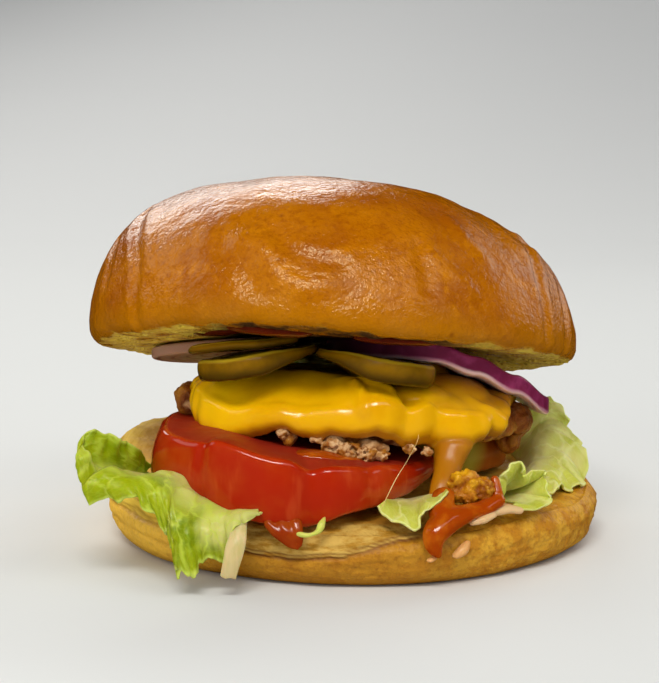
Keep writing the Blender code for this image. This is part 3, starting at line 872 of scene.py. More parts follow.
cheese = {
    "thickness": 2.0,
    "overPatty": 1.9,  # its upper side over the patty's
    # all by angle in degrees round the patty: height of the ridge where the slice turns down, and
    # of its lower edge
    "ridge": ((-180, 35.0), (-158, 36.2), (-148, 36.0), (-138, 34.2), (-126, 33.0), (-117, 34.2),
              (-111, 34.4), (-105, 33.6), (-98, 34.1), (-90, 33.7), (-86.5, 34.6), (-82, 35.6),
              (-78, 35.0), (-75.5, 34.3), (-73, 33.5), (-66, 34.6), (-63.5, 33.2), (-60, 32.5),
              (-47, 31.6), (-44.5, 32.4), (-40, 31.2), (-34, 33.0), (-25, 34.0), (20, 32.0), (60, 29.0),
              (100, 28.4), (140, 29.6), (180, 35.0)),
    "edge": ((-180, 31.6), (-158, 28.8), (-150, 27.0), (-144, 25.9), (-136, 25.0), (-130, 25.2),
             (-126.5, 27.2), (-122, 28.8), (-118.5, 30.2), (-112.5, 32.0), (-109.5, 32.4), (-104, 30.3),
             (-100, 29.8), (-96, 31.0), (-91, 30.7), (-86, 30.2), (-83, 30.6), (-79, 29.6), (-74, 27.4),
             (-69.5, 27.9), (-66.5, 27.6), (-63, 26.4), (-58, 26.2), (-54, 26.2), (-49.5, 27.6),
             (-46.6, 30.2), (-44.6, 28.8), (-41, 28.0), (-37.5, 29.6), (-33, 32.0), (-20, 32.4),
             (20, 30.4), (60, 25.0), (100, 24.0), (140, 26.0), (165, 29.0), (180, 31.6)),
    # how far its rim stands out beyond the patty, and how wide the slope above the ridge is
    "reach": ((-180, -7.6), (-168, -6.8), (-158, -5.4), (-152, -3.2), (-146, -0.9), (-138, 1.2),
              (-130, 1.9), (-118, 2.2), (-98, 2.1), (-88, 2.7), (-80, 3.2), (-74.5, 2.2), (-70.5, 2.9),
              (-63.2, 1.4), (-55, 3.3), (-49, 2.4), (-44.6, 0.4), (-40.5, 0.6), (-36, -1.0), (-30, -3.4),
              (-20, -5.4), (15, -5.0), (50, -1.0), (75, 1.6), (110, 1.6), (140, 0.6), (155, -1.0),
              (168, -6.8), (180, -7.6)),
    "slope": ((-180, 7.0), (-150, 6.0), (-140, 6.5), (-124, 10.5), (-52, 11.0), (-40, 8.0), (0, 6.0),
              (60, 7.0), (180, 7.0)),
    # soft welts on the slope: points of (angle, mm above the ridge), half width, height
    "welts": (
        (((-88.5, 7.2), (-87.0, 5.0), (-86.2, 2.4), (-86.0, 0.0)), 0.6, 0.65),
        (((-85.2, 9.6), (-83.8, 7.4), (-81.0, 6.0), (-78.8, 4.6)), 0.6, 0.65),
        (((-48.6, 6.0), (-46.4, 3.6), (-45.6, 1.0)), 0.8, 0.6),
    ),
    # rounded heaps of cheese: place, radii, turn in degrees
    "heaps": (
        ((16.0, -30.0, 37.4), (9.0, 8.0, 3.0), (0, 6, 0)),
        ((25.0, -22.0, 36.6), (9.0, 9.0, 3.4), (0, 8, 0)),
        ((14.0, -14.0, 38.4), (12.0, 10.0, 4.4), (0, 0, 0)),
        ((29.5, -14.0, 34.6), (5.0, 9.0, 3.4), (0, 12, 0)),
    ),
    # the run of cheese at the front right: x, y, z, half width, half height
    "drip": ((25.4, -35.4, 27.0, 4.2, 2.4), (24.6, -36.4, 25.4, 3.9, 2.4), (24.0, -38.0, 23.6, 3.4, 2.4),
             (23.4, -40.4, 21.8, 3.0, 2.4), (22.4, -43.0, 20.0, 2.7, 2.3), (21.6, -44.6, 18.2, 2.3, 1.9)),
}


def cheesePlan(degrees):
    # the ridge's radius and height, and the radius and height where the slope starts
    angle = math.radians(degrees)
    rim = pattyOutline(angle) + readAt(cheese["reach"], degrees)
    inner = rim - readAt(cheese["slope"], degrees)
    cx, cy = patty["centre"]
    high = pattyTop(cx + inner * math.cos(angle), cy + inner * math.sin(angle)) + cheese["overPatty"]
    return rim, min(readAt(cheese["ridge"], degrees), high - 0.8), inner, high


def cheeseTop(x, y):
    # the slice's upper side over any place on the patty
    across, deep = x - patty["centre"][0], y - patty["centre"][1]
    rim, ridge, inner, high = cheesePlan(math.degrees(math.atan2(deep, across)))
    share = min(1.15, (math.hypot(across, deep) - inner) / (rim - inner))
    if share <= 0.0:
        return pattyTop(x, y) + cheese["overPatty"]
    return high - (high - ridge) * (0.35 * share + 0.65 * share * share)


def breadingHeight(x, y, z, size):
    # craggy coating: sharp flakes over broad lumps
    flakes = noise.turbulence(Vector((x, y, z)) / size, 4, True)
    return (flakes - 0.55) * 1.5 + 0.8 * lump(x, y, z, 8.0, 4.0)


def addBreading(form, depth, size=5.5, flourAt=None):
    height, flour = newLayers(form, "height", "flour")
    for vertex in form.verts:
        vertex[height] = breadingHeight(*vertex.co, size)
        x, y, z = vertex.co
        dusted = smoothStep(lump(x, y, z, 7.0, 8.0) + 0.35 * lump(x, y, z, 2.2, 1.0), 0.16, 0.34)
        if flourAt:
            away = (vertex.co - Vector(flourAt[:3])).length / flourAt[3]
            dusted = max(dusted, smoothStep(1.25 - away + 0.7 * lump(x, y, z, 3.0), 0.0, 0.35))
        vertex[flour] = dusted * smoothStep(vertex[height], -0.4, 0.4)
    swell(form, lambda vertex: depth * vertex[height] - 0.2)


def makeChicken(finish, nubFinish):
    def top(x, y):
        # a little under the cheese, and up again where the patty stands out beyond it
        across, deep = x - patty["centre"][0], y - patty["centre"][1]
        beyond = math.hypot(across, deep) - cheesePlan(math.degrees(math.atan2(deep, across)))[0]
        return min(pattyTop(x, y), cheeseTop(x, y) - 2.9 + 4.0 * smoothStep(beyond, 0.8, 2.6))

    def outline(angle):
        return pattyOutline(angle) - 0.5

    form = slabForm(patty["centre"], outline, top, pattyBottom, 2.2)
    for place, radii in patty["lumps"]:
        addBlob(form, place, radii)
    form = remeshed(form, 0.62, 3)
    addBreading(form, 0.9, flourAt=(4.5, -37.0, 30.0, 8.0))
    finished("chickenPatty", form, finish, "chicken", "chicken_patty")

    form = bmesh.new()
    for place, radii in patty["nub"]:
        addBlob(form, place, radii)
    form = remeshed(form, 0.3, 3)
    addBreading(form, 1.0, 3.0)
    for vertex in form.verts:
        vertex[form.verts.layers.float["flour"]] *= 0.12
    finished("chickenNub", form, nubFinish, "chicken", "chicken_nub")


def chickenMaterial(name, deepTones, goldenTones):
    made, tree, shader, place = startMaterial(name, 0.45, Specular_IOR_Level=0.25)
    deep = mottled(tree, place, deepTones[0], deepTones[1], 260.0, 0.42, 0.66)
    golden = mottled(tree, place, goldenTones[0], goldenTones[1], 420.0, 0.4, 0.7)
    tone = blended(tree, ranged(tree, attribute(tree, "height"), -0.5, 0.75), deep, golden)
    dust = mottled(tree, place, (0.66, 0.41, 0.20), (0.46, 0.23, 0.08), 600.0, 0.42, 0.66)
    tone = blended(tree, attribute(tree, "flour"), tone, dust)
    pepper = specked(tree, place, 520.0, 0.07, 0.36)
    tone = blended(tree, pepper, tone, (0.035, 0.012, 0.006))
    feed(tree, shader.inputs["Base Color"], tone)
    feed(tree, shader.inputs["Roughness"], ranged(tree, attribute(tree, "flour"), 0.0, 1.0, 0.32, 0.8))
    skin = pebbled(tree, place, 700.0, 2000.0, 0.5)
    addBump(tree, shader, skin, 0.7, 0.6)
    return made


chickenFinish = chickenMaterial("chicken", ((0.30, 0.085, 0.012), (0.13, 0.026, 0.004)),
                               ((0.50, 0.21, 0.02), (0.36, 0.12, 0.01)))
nubFinish = chickenMaterial("chickenNub", ((0.44, 0.14, 0.005), (0.26, 0.065, 0.003)),
                            ((0.72, 0.36, 0.008), (0.56, 0.22, 0.005)))
makeChicken(chickenFinish, nubFinish)
print("chicken made")


# the melted cheese

def makeCheese(finish):
    columns, rows = 420, 96
    slopeFrom, rimFrom = 0.36, 0.72  # shares of the rows, from the middle out and over the rim
    perDegree = 0.72  # mm along the rim
    form = bmesh.new()
    bmesh.ops.create_grid(form, x_segments=columns, y_segments=rows, size=0.5)
    cx, cy = patty["centre"]
    for vertex in form.verts:
        across, out = vertex.co.x + 0.5, vertex.co.y + 0.5
        degrees = 360.0 * (across - 0.5)
        angle = math.radians(degrees)
        rim, ridge, inner, _ = cheesePlan(degrees)
        edge = min(readAt(cheese["edge"], degrees), ridge - 1.2)
        if out < slopeFrom:
            radius = inner * out / slopeFrom
        elif out < rimFrom:
            radius = inner + (rim - inner) * (out - slopeFrom) / (rimFrom - slopeFrom)
        else:
            radius = rim
        x, y = cx + radius * math.cos(angle), cy + radius * math.sin(angle)
        z = cheeseTop(x, y)
        toRidge = (rim - radius) * 1.2  # mm along the slope
        if out > rimFrom:
            share = (out - rimFrom) / (1.0 - rimFrom)
            toRidge = -(ridge - edge) * share
            z = ridge + toRidge
            radius += 0.7 * math.sin(math.pi * min(1.0, 1.6 * share)) - 1.3 * smoothStep(share, 0.5, 1.0)
        if -150 < degrees < -35:
            bead = 0.45 * hump(toRidge, 0.2, 0.8) * smoothStep(degrees, -150, -135)
            bead *= smoothStep(-degrees, 35, 45)
            radius += 0.6 * bead
            z += bead
        if toRidge < 13.0 and -110 < degrees < -30:
            at = Vector((degrees * perDegree, toRidge, 0.0))
            for points, wide, high in cheese["welts"]:
                away = lineDistance(at, [Vector((a * perDegree, b, 0.0)) for a, b in points])
                radius += 0.6 * high * hump(away, 0.0, wide)
                z += 0.8 * high * hump(away, 0.0, wide)
            # the fold over the middle stops short at its right side
            fold = smoothStep(degrees, -100, -90)
            fold *= smoothStep(degrees + 0.32 * (toRidge - 4.0), -76.2, -78.2)
            fold *= smoothStep(toRidge, 13.0, 9.0) * smoothStep(toRidge, -1.0, 2.0)
            z += 1.5 * fold
            radius += 0.4 * fold
        x, y = cx + radius * math.cos(angle), cy + radius * math.sin(angle)
        vertex.co = Vector((x, y, z + 0.3 * lump(x, y, 0.0, 9.0) + 0.18 * lump(x, y, z, 4.0)))
    bmesh.ops.remove_doubles(form, verts=form.verts, dist=0.02)
    bmesh.ops.recalc_face_normals(form, faces=form.faces)
    form.normal_update()
    bmesh.ops.solidify(form, geom=form.faces[:], thickness=-cheese["thickness"])
    for place, radii, turn in cheese["heaps"]:
        addBlob(form, place, radii, turn)
    blobPath(form, cheese["drip"], 14)
    form = remeshed(form, 0.45, 3)
    run = vectors(stop[:3] for stop in cheese["drip"])

    # painted shade: the undersides, the lowest part of the edge and the drip are marked to be coloured darker
    def lip(vertex):
        near = smoothStep(lineDistance(vertex.co, run), 5.2, 3.6) * smoothStep(vertex.co.z, 30.6, 28.4)
        return max(smoothStep(vertex.normal.z, 0.0, -0.7), smoothStep(vertex.co.z, 27.5, 24.0), near)

    mark(form, "lip", lip)
    finished("cheeseSlice", form, finish, "cheese", "cheese_slice")


def cheeseMaterial():
    made, tree, shader, place = startMaterial("cheese", 0.2, Subsurface_Weight=0.2, Subsurface_Scale=0.003,
                                              Specular_IOR_Level=0.42)
    shader.inputs["Subsurface Radius"].default_value = (1.0, 0.55, 0.12)
    tone = mottled(tree, place, (0.78, 0.40, 0.001), (0.70, 0.33, 0.001), 70.0, 0.42, 0.7)
    across = axes(tree, place)[0]
    # painted light: the left end of the slice is coloured brighter yellow
    tone = blended(tree, ranged(tree, across, -0.014, -0.030, 0.0, 0.9), tone, (0.98, 0.55, 0.002))
    # painted shade: darker orange on the undersides, the lower edge and the drip
    tone = blended(tree, times(tree, attribute(tree, "lip"), 0.95), tone, (0.40, 0.135, 0.001))
    feed(tree, shader.inputs["Base Color"], tone)
    rough = ranged(tree, noiseField(tree, place, 5.0), 0.35, 0.7, 0.12, 0.22)
    dull = times(tree, attribute(tree, "lip"), 0.36)
    feed(tree, shader.inputs["Roughness"], sums(tree, "MAXIMUM", rough, dull))
    addBump(tree, shader, noiseField(tree, place, 2.2), 0.18, 0.5)
    return made


cheeseFinish = cheeseMaterial()
makeCheese(cheeseFinish)
print("cheese made")


# the lettuce: each leaf is spread between its edge, a line halfway and its root, given in columns

leafGreen = {
    "blade": (0.31, 0.36, 0.001), "bladeDeep": (0.18, 0.24, 0.001), "bladeInner": (0.68, 0.64, 0.22),
    "vein": (0.50, 0.58, 0.06), "rim": (0.56, 0.66, 0.12),
}
leafPale = {
    "blade": (0.54, 0.56, 0.08), "bladeDeep": (0.42, 0.44, 0.03), "bladeInner": (0.70, 0.64, 0.26),
    "vein": (0.74, 0.76, 0.30), "rim": (0.70, 0.74, 0.26),
}
leaves = {
    # "waves" are (how many, how high), "pale" gives places paler than the rest and how wide they are: partly
    # the leaf's own pale inner colour, partly painted light
    "lettuceLeft": {
        "node": "lettuce_left", "finish": "green", "size": (240, 80), "width": 74.0, "length": 36.0,
        "waves": ((9.0, 0.6), (17.0, 0.5), (31.0, 0.35)), "ruffle": 6, "blisters": 0.75, "seed": 2.0,
        "pale": (((-22.0, -55.5, 14.0), 8.5), ((-18.5, -55.0, 15.5), 7.0)),
        "edge": ((-41.8, -24, 19.8), (-43.0, -32, 25.2), (-46.4, -38, 28.2), (-49.6, -42, 32.2),
                 (-53.2, -46, 30.6), (-51.8, -49, 26.0), (-51.2, -51, 17.6), (-46.9, -52, 18.9),
                 (-40.8, -54, 19.6), (-36.5, -57, 15.0), (-32.9, -59.0, 9.6), (-33.0, -59.6, 5.7),
                 (-29.6, -59.8, 5.3), (-27.0, -58.4, 6.9), (-24.0, -57.6, 7.8), (-21.8, -57.4, 12.0),
                 (-18.6, -57.6, 15.6), (-15.4, -56.6, 17.0)),
        "middle": ((-41.3, -24, 18.0), (-42.1, -28, 18.7), (-44.5, -34, 20.3), (-48.1, -40, 22.5),
                   (-51.0, -45, 24.1), (-51.0, -47, 22.8), (-49.6, -47.5, 23.4), (-46.2, -47, 24.1),
                   (-41.6, -47, 22.8), (-37.6, -48.6, 23.8), (-34.6, -51, 22.6), (-33.2, -53, 20.4),
                   (-30.4, -53, 18.6), (-27.4, -51.4, 17.6), (-24.4, -51.4, 17.2), (-21.8, -52.0, 17.0),
                   (-18.8, -53.0, 17.4), (-16.0, -52.6, 17.2)),
        "root": ((-36, -18, 17.4), (-36, -20, 17.2), (-35, -22, 17.0), (-34, -24, 16.8), (-33, -26, 16.4),
                 (-32, -28, 16.0), (-31, -30, 15.6), (-30, -32, 15.2), (-28, -34, 14.8), (-26, -35, 14.5),
                 (-24, -36, 14.3), (-22, -36.5, 14.1), (-20, -37, 13.8), (-18, -37.5, 13.6),
                 (-16, -38, 13.4), (-14, -38, 13.2), (-12, -38, 13.0)),
    },
    "lettuceFront": {
        "node": "lettuce_front", "finish": "pale", "size": (110, 50), "width": 20.0, "length": 16.0,
        "waves": ((3.0, 0.3), (7.0, 0.12)), "blisters": 0.25, "ragged": 0.03, "seed": 5.0,
        "edge": ((8.4, -52, 17.6), (10.9, -54, 15.4), (13.9, -55.2, 14.2), (16.5, -55.8, 13.5),
                 (17.3, -55.2, 15.8), (18.9, -53.6, 17.2), (21.4, -52, 18.4), (23.2, -50, 19.9)),
        "middle": ((10.2, -46, 17.4), (12.2, -46, 17.0), (14.2, -47, 16.8), (16.2, -48, 16.6),
                   (17.6, -48, 17.4), (19.2, -47, 18.2), (21.0, -46, 18.8), (22.6, -45, 19.4)),
        "root": ((9.0, -36, 15.0), (11.0, -36, 15.0), (13.0, -36, 15.0), (14.6, -36, 15.0),
                 (16.0, -36, 15.2), (17.6, -36, 15.4), (19.2, -36, 15.6), (21.0, -36, 15.8)),
    },
    "lettuceRight": {
        "node": "lettuce_right", "finish": "pale", "size": (140, 50), "width": 30.0, "length": 14.0,
        "waves": ((4.0, 0.3), (9.0, 0.25), (17.0, 0.15)), "blisters": 0.35, "seed": 9.0,
        "edge": ((34.4, -42, 16.9), (34.8, -41, 20.6), (36.0, -40, 22.5), (39.3, -38, 23.8),
                 (40.4, -37, 20.7), (42.9, -35, 21.4), (45.4, -34, 20.9), (45.5, -36, 17.2),
                 (46.6, -37, 14.8), (41.4, -42, 14.2), (36.4, -43.4, 15.0)),
        "middle": ((35.0, -38, 16.0), (36.0, -37, 18.0), (37.0, -36, 19.0), (38.8, -34, 19.6),
                   (39.8, -34, 17.8), (41.4, -33, 18.2), (43.0, -32, 18.2), (43.0, -34, 16.4),
                   (43.0, -35, 15.4), (40.4, -38, 14.8), (38.0, -39, 15.2)),
        "root": ((30, -31, 14.4), (31, -31, 14.4), (32, -30, 14.4), (33, -29, 14.4), (34, -28, 14.4),
                 (35, -27, 14.4), (36, -26, 14.4), (36, -28, 14.2), (36, -30, 14.2), (35, -32, 14.2),
                 (34, -33, 14.2)),
    },
    "lettuceBackRight": {
        "node": "lettuce_back_right", "finish": "pale", "size": (220, 70), "width": 70.0, "length": 24.0,
        "waves": ((8.0, 0.8), (15.0, 0.6), (27.0, 0.35)), "blisters": 0.6, "seed": 13.0,
        "pale": (((52.5, 6.0, 25.0), 9.0), ((54.0, -2.0, 18.0), 5.0)),
        "edge": ((46.0, -26, 14.4), (51.5, -19, 13.8), (56.5, -10, 11.8), (58.6, 1, 15.4), (56.6, 9, 21.6),
                 (52.0, 10, 28.4), (46.0, 16, 27.4), (52.0, 24, 24.0), (55.0, 30, 18.6), (47.0, 39, 19.0),
                 (38.0, 46, 18.6)),
        "middle": ((44.0, -19, 16.0), (47.0, -13, 16.6), (49.5, -5, 18.0), (50.5, 2, 21.0),
                   (50.0, 8, 23.4), (47.0, 10, 25.6), (44.0, 15, 25.0), (46.0, 21, 23.4), (47.0, 26, 21.2),
                   (42.0, 33, 20.6), (34.0, 40, 20.6)),
        "root": ((40, -14, 14.0), (42, -10, 14.2), (43, -5, 14.6), (43, 0, 15.0), (42, 5, 15.6),
                 (41, 9, 16.2), (40, 13, 16.8), (39, 17, 17.2), (37, 22, 17.6), (33, 28, 18.2),
                 (28, 34, 18.8)),
    },
    "lettuceBack": {
        "node": "lettuce_back", "finish": "green", "size": (200, 60), "width": 66.0, "length": 30.0,
        "waves": ((7.0, 0.8), (13.0, 0.5), (25.0, 0.3)), "blisters": 0.6, "seed": 17.0,
        "edge": ((13.0, 57.0, 19.6), (4.0, 59.6, 21.6), (-5.0, 59.0, 22.8), (-14.0, 57.4, 20.4),
                 (-23.0, 55.0, 19.6), (-30.0, 49.0, 20.4), (-34.0, 41.0, 21.4), (-36.0, 32.0, 21.8)),
        "middle": ((12.0, 45.0, 21.6), (4.0, 46.0, 22.0), (-4.0, 46.0, 22.2), (-12.0, 45.0, 22.0),
                   (-19.0, 42.0, 21.8), (-25.0, 38.0, 21.6), (-30.0, 32.0, 21.4), (-33.0, 24.0, 21.0)),
        "root": ((10.0, 30.0, 18.9), (5.0, 30.0, 19.0), (0.0, 30.0, 19.2), (-5.0, 29.0, 19.3),
                 (-10.0, 27.0, 19.4), (-14.0, 24.0, 19.4), (-18.0, 20.0, 19.2), (-20.0, 15.0, 18.8)),
    },
}


def makeLeaf(name, leaf, finish):
    edge, middle, root = (vectors(leaf[part]) for part in ("edge", "middle", "root"))
    seed = leaf["seed"]
    form = bmesh.new()
    columns, rows = leaf["size"]
    bmesh.ops.create_grid(form, x_segments=columns, y_segments=rows, size=0.5, calc_uvs=False)
    chart = form.loops.layers.uv.new("leaf")
    for face in form.faces:
        for loop in face.loops:
            across, out = loop.vert.co.x + 0.5, loop.vert.co.y + 0.5
            loop[chart].uv = (across * leaf["width"], out * leaf["length"])
    outward, = newLayers(form, "outward")
    shares = {}
    for vertex in form.verts:
        across, out = vertex.co.x + 0.5, vertex.co.y + 0.5
        shares[vertex.index] = (across, out)
        vertex[outward] = out
        ragged = leaf.get("ragged", 0.1) * noise.noise(Vector((across * leaf["width"] / 5.0, seed, 0)))
        ragged += 0.05 * noise.noise(Vector((across * leaf["width"] / 1.7, seed, 3.0)))
        out *= 1.0 + ragged * out**4
        here, halfway, start = (curveThrough(line, across) for line in (edge, middle, root))
        steer = halfway * 2 - (start + here) / 2
        vertex.co = start * (1 - out) ** 2 + steer * 2 * out * (1 - out) + here * out * out
    form.normal_update()

    def relief(vertex):
        across, out = shares[vertex.index]
        x, y, z = vertex.co
        total = leaf["blisters"] * (lump(x, y, z, 5.0, seed) + 0.5 * lump(x, y, z, 2.3, seed))
        total *= smoothStep(out, 0.0, 0.3)
        for count, size in leaf["waves"]:
            wander = noise.noise(Vector((across * count * 0.7, seed, count)))
            phase = 2 * math.pi * (count * across + 0.5 * wander) + seed + 1.3 * out
            total += size * out ** leaf.get("ruffle", 3) * math.sin(phase)
        return total

    swell(form, relief)

    def palePart(vertex):
        total = smoothStep(shares[vertex.index][1], 0.75, 0.25)
        # the listed pale places: partly the leaf's pale inner colour, partly painted light where the leaf is
        # brightly lit
        for place, wide in leaf.get("pale", ()):
            away = (vertex.co - Vector(place)).length + 2.5 * lump(*vertex.co, 5.0, seed)
            total = max(total, 0.75 * smoothStep(away, wide, 0.4 * wide))
        return total

    mark(form, "inward", palePart)
    piece = finished(name, form, finish, "lettuce", leaf["node"])
    wall = piece.modifiers.new("Wall", "SOLIDIFY")
    wall.thickness = 0.5 * mm
    wall.offset = 0.0
    wall.use_even_offset = False


def leafMaterial(name, tones):
    made, tree, shader, place = startMaterial(name, 0.38, Subsurface_Weight=0.35, Subsurface_Scale=0.0025,
                                              Specular_IOR_Level=0.25)
    shader.inputs["Subsurface Radius"].default_value = (0.6, 1.0, 0.15)
    chart = addNode(tree, "UVMap", uv_map="leaf").outputs[0]
    tone = mottled(tree, place, tones["blade"], tones["bladeDeep"], 120.0, 0.42, 0.68)
    tone = blended(tree, times(tree, attribute(tree, "inward"), 0.85), tone, tones["bladeInner"])
    bent = addNode(tree, "TexNoise", {"Vector": chart, "Scale": 0.35, "Detail": 2.0}).outputs["Color"]
    swayed = addNode(tree, "VectorMath", {0: bent, 1: (4.0, 4.0, 0.0)}, operation="MULTIPLY").outputs[0]
    route = addNode(tree, "VectorMath", {0: chart, 1: swayed}, operation="ADD").outputs[0]
    long = stretched(tree, route, (1.0, 0.55, 1.0))

    def veins(way, scale, width, strength):
        cells = addNode(tree, "TexVoronoi", {"Vector": way, "Scale": scale}, feature="DISTANCE_TO_EDGE")
        return ranged(tree, cells.outputs["Distance"], width, 0.0, 0.0, strength)

    main, fine = veins(long, 0.16, 0.09, 0.8), veins(route, 0.55, 0.14, 0.22)
    vein = sums(tree, "MAXIMUM", main, fine)
    tone = blended(tree, times(tree, vein, 0.75), tone, tones["vein"])
    edge = ranged(tree, attribute(tree, "outward"), 0.965, 0.995, 0.0, 0.7)
    tone = blended(tree, edge, tone, tones["rim"])
    feed(tree, shader.inputs["Base Color"], tone)
    feed(tree, shader.inputs["Roughness"], ranged(tree, noiseField(tree, place, 4.0), 0.35, 0.7, 0.28, 0.5))
    raised = plus(tree, times(tree, main, 0.6), times(tree, fine, 0.4))
    addBump(tree, shader, plus(tree, raised, times(tree, noiseField(tree, place, 1.2), 0.4)), 0.4, 0.3)
    return made


leafFinishes = {"green": leafMaterial("leafGreen", leafGreen), "pale": leafMaterial("leafPale", leafPale)}
for leafName, leaf in leaves.items():
    makeLeaf(leafName, leaf, leafFinishes[leaf["finish"]])


def makeRib():
    # the thick pale rib of the left leaf, cut across at its foot
    form = bmesh.new()
    bmesh.ops.create_cube(form, size=1.0)
    bmesh.ops.subdivide_edges(form, edges=form.edges[:], cuts=11, use_grid_fill=True)
    for vertex in form.verts:
        x, y, z = vertex.co
        down = 0.5 - z
        rounded = math.sqrt(max(0.0, 1.0 - (1.6 * x) ** 2 * 0.75))
        wide = 4.1 * (1.0 - 0.10 * down + 0.10 * math.sin(5.0 * down)) * (1.0 - 0.45 * hump(down, 0.0, 0.3))
        thick = 1.5 * rounded * (1.0 - 0.25 * down)
        bow = thick * y - 3.4 * math.sin(down * 1.9) + 0.4 * (x * 2) ** 2 + 1.6 * hump(down, 0.0, 0.2)
        foot = 0.15 * hump(down, 1.0, 0.1) * math.sin(9 * x)
        vertex.co = Vector((-19.6 + wide * x - 2.8 * down + 0.25 * lump(0, 0, down * 12.0, 3.0),
                            -57.4 + bow, 16.2 - 11.6 * down + foot - 0.5 * x * down))
    bmesh.ops.smooth_vert(form, verts=form.verts, factor=0.5,
                          use_axis_x=True, use_axis_y=True, use_axis_z=True)
    made, tree, shader, place = startMaterial("leafRib", 0.3, Subsurface_Weight=0.4, Subsurface_Scale=0.003,
                                              Specular_IOR_Level=0.25)
    stripes = stretched(tree, place, (1.0, 1.0, 0.12))
    tone = mottled(tree, stripes, (0.60, 0.48, 0.23), (0.52, 0.44, 0.17), 900.0, 0.4, 0.7)
    feed(tree, shader.inputs["Base Color"], tone)
    addBump(tree, shader, noiseField(tree, stripes, 1.2), 0.3, 0.3)
    finished("lettuceRib", form, made, "rib", "lettuce_rib")


makeRib()
print("lettuce made")


# the pickles

pickles = (  # name, node, radius, thickness, thin side, centre of the top, rise to the front, roll, seed
    ("pickleLeftLower", "pickle_left_lower", 12.8, 4.8, 1, (-17.4, -29.3, 46.4), 0.125, -8.0, 1.0),
    ("pickleLeftUpper", "pickle_left_upper", 11.8, 2.0, 0, (-20.3, -29.4, 49.0), 0.155, -6.0, 2.0),
    ("pickleRight", "pickle_right", 13.0, 5.0, -1, (8.6, -31.7, 45.7), 0.15, 8.5, 3.0),
)


def makePickles(finish):
    for name, node, radius, thickness, thin, centre, rise, roll, seed in pickles:
        def outline(angle):
            return radius * (1.0 + 0.015 * math.cos(2 * angle + seed) + 0.008 * math.cos(7 * angle + seed))

        def bottom(x, y):
            if not thin:
                return -thickness
            return -thickness + (thickness - 1.9) * smoothStep(thin * x, 0.05 * radius, 0.95 * radius)

        form = slabForm((0, 0), outline, lambda x, y: 0.0, bottom, 0.9, steps=170, rings=24, turns=8)
        inner, side, low = newLayers(form, "inner", "side", "low")
        turn = Euler((-math.atan(rise), math.radians(roll), 0.0)).to_matrix()
        for vertex in form.verts:
            x, y, z = vertex.co
            reach = math.hypot(x, y) / outline(math.atan2(y, x))
            vertex[inner] = reach
            vertex[low] = z / bottom(x, y)
            vertex[side] = max(smoothStep(reach, 0.93, 0.985), smoothStep(vertex[low], 0.5, 0.8))
            belly = 1.0 + 0.035 * math.sin(math.pi * min(1.0, -z / thickness)) * smoothStep(reach, 0.8, 1.0)
            wavy = 0.45 * lump(x, y, 0.0, 11.0, seed) + 0.12 * lump(x, y, z, 2.5, seed)
            vertex.co = turn @ Vector((x * belly, y * belly, z + wavy)) + Vector(centre)
        finished(name, form, finish, "pickle", node)


def pickleMaterial():
    made, tree, shader, place = startMaterial("pickle", 0.25, Subsurface_Weight=0.15,
                                              Subsurface_Scale=0.003, Specular_IOR_Level=0.22)
    flesh = mottled(tree, place, (0.32, 0.20, 0.005), (0.20, 0.12, 0.003), 220.0, 0.4, 0.68)
    rind = mottled(tree, place, (0.25, 0.118, 0.0006), (0.16, 0.076, 0.0006), 130.0, 0.4, 0.66)
    low = attribute(tree, "low")
    # painted shade: the rind darkens towards the underside of the slice
    rind = blended(tree, ranged(tree, low, 0.3, 0.95), rind, (0.055, 0.026, 0.0008))
    # painted highlight: a lighter band along the rind's top edge
    rind = blended(tree, ranged(tree, low, 0.2, 0.05, 0.0, 0.75), rind, (0.60, 0.40, 0.02))
    seeds = specked(tree, place, 260.0, 0.35, 0.42)
    core = ranged(tree, attribute(tree, "inner"), 0.66, 0.52)
    flesh = blended(tree, times(tree, seeds, core), flesh, (0.52, 0.46, 0.12))
    feed(tree, shader.inputs["Base Color"], blended(tree, attribute(tree, "side"), flesh, rind))
    addBump(tree, shader, noiseField(tree, place, 1.6), 0.25, 0.4)
    return made


makePickles(pickleMaterial())
print("pickles made")


# the red onion

onion = {
    "right": ((23.0, -11.0), 25.3, 4.2),  # centre, radius, thickness
    "left": ((-26.5, 3.0), 16.8, 2.6),
    "ringGap": 3.4,
}


def onionRightTop(x, y):
    share = (x + 6.0) / 54.0
    front = along((50.0, 50.1, 50.2, 49.5, 46.6, 42.6, 37.4), share)
    lean = along((0.12, 0.12, 0.14, 0.18, 0.20, 0.19, 0.17), share) * (y + 36.0)
    return front - lean - along((0.12, 0.12, 0.12, 0.07, 0.0, 0.0, 0.0), share) * smoothRamp(y + 16.0, 2.0)


def onionLeftTop(x, y):
    cx, _, cz = crown["centre"]
    back, right = (math.tan(math.radians(crown[lean])) for lean in ("leanBack", "leanRight"))
    under = cz - back * y - right * (x - cx)
    reach = math.hypot(x - cx, y) / (crown["hollowEdge"] * crown["radius"])
    return under + crown["hollow"] * (1.0 - smoothStep(reach)) - 0.7


# the left onion takes a copy of the finish darkened as painted shade
def makeOnions(bright, dim):
    for name, node, (centre, radius, thick), top, finish in (
        ("onionRight", "onion_right", onion["right"], onionRightTop, bright),
        ("onionLeft", "onion_left", onion["left"], onionLeftTop, dim),
    ):
        form = slabForm(centre, lambda angle: radius, top, lambda x, y: top(x, y) - thick, 0.8,
                        steps=220, rings=60)
        ring, level = newLayers(form, "ring", "level")
        for vertex in form.verts:
            x, y, z = vertex.co
            reach = math.hypot(x - centre[0], y - centre[1])
            vertex[ring] = reach + 0.5 * lump(x, y, 0.0, 12.0)
            vertex[level] = (z - top(x, y)) / thick + 1.0
            groove = 0.22 * hump(vertex[ring] % onion["ringGap"], onion["ringGap"] / 2, 0.28)
            groove *= smoothStep(radius - reach, 0.6, 1.6)
            vertex.co.z -= math.copysign(groove, vertex[level] - 0.5)
        finished(name, form, finish, "onion", node)


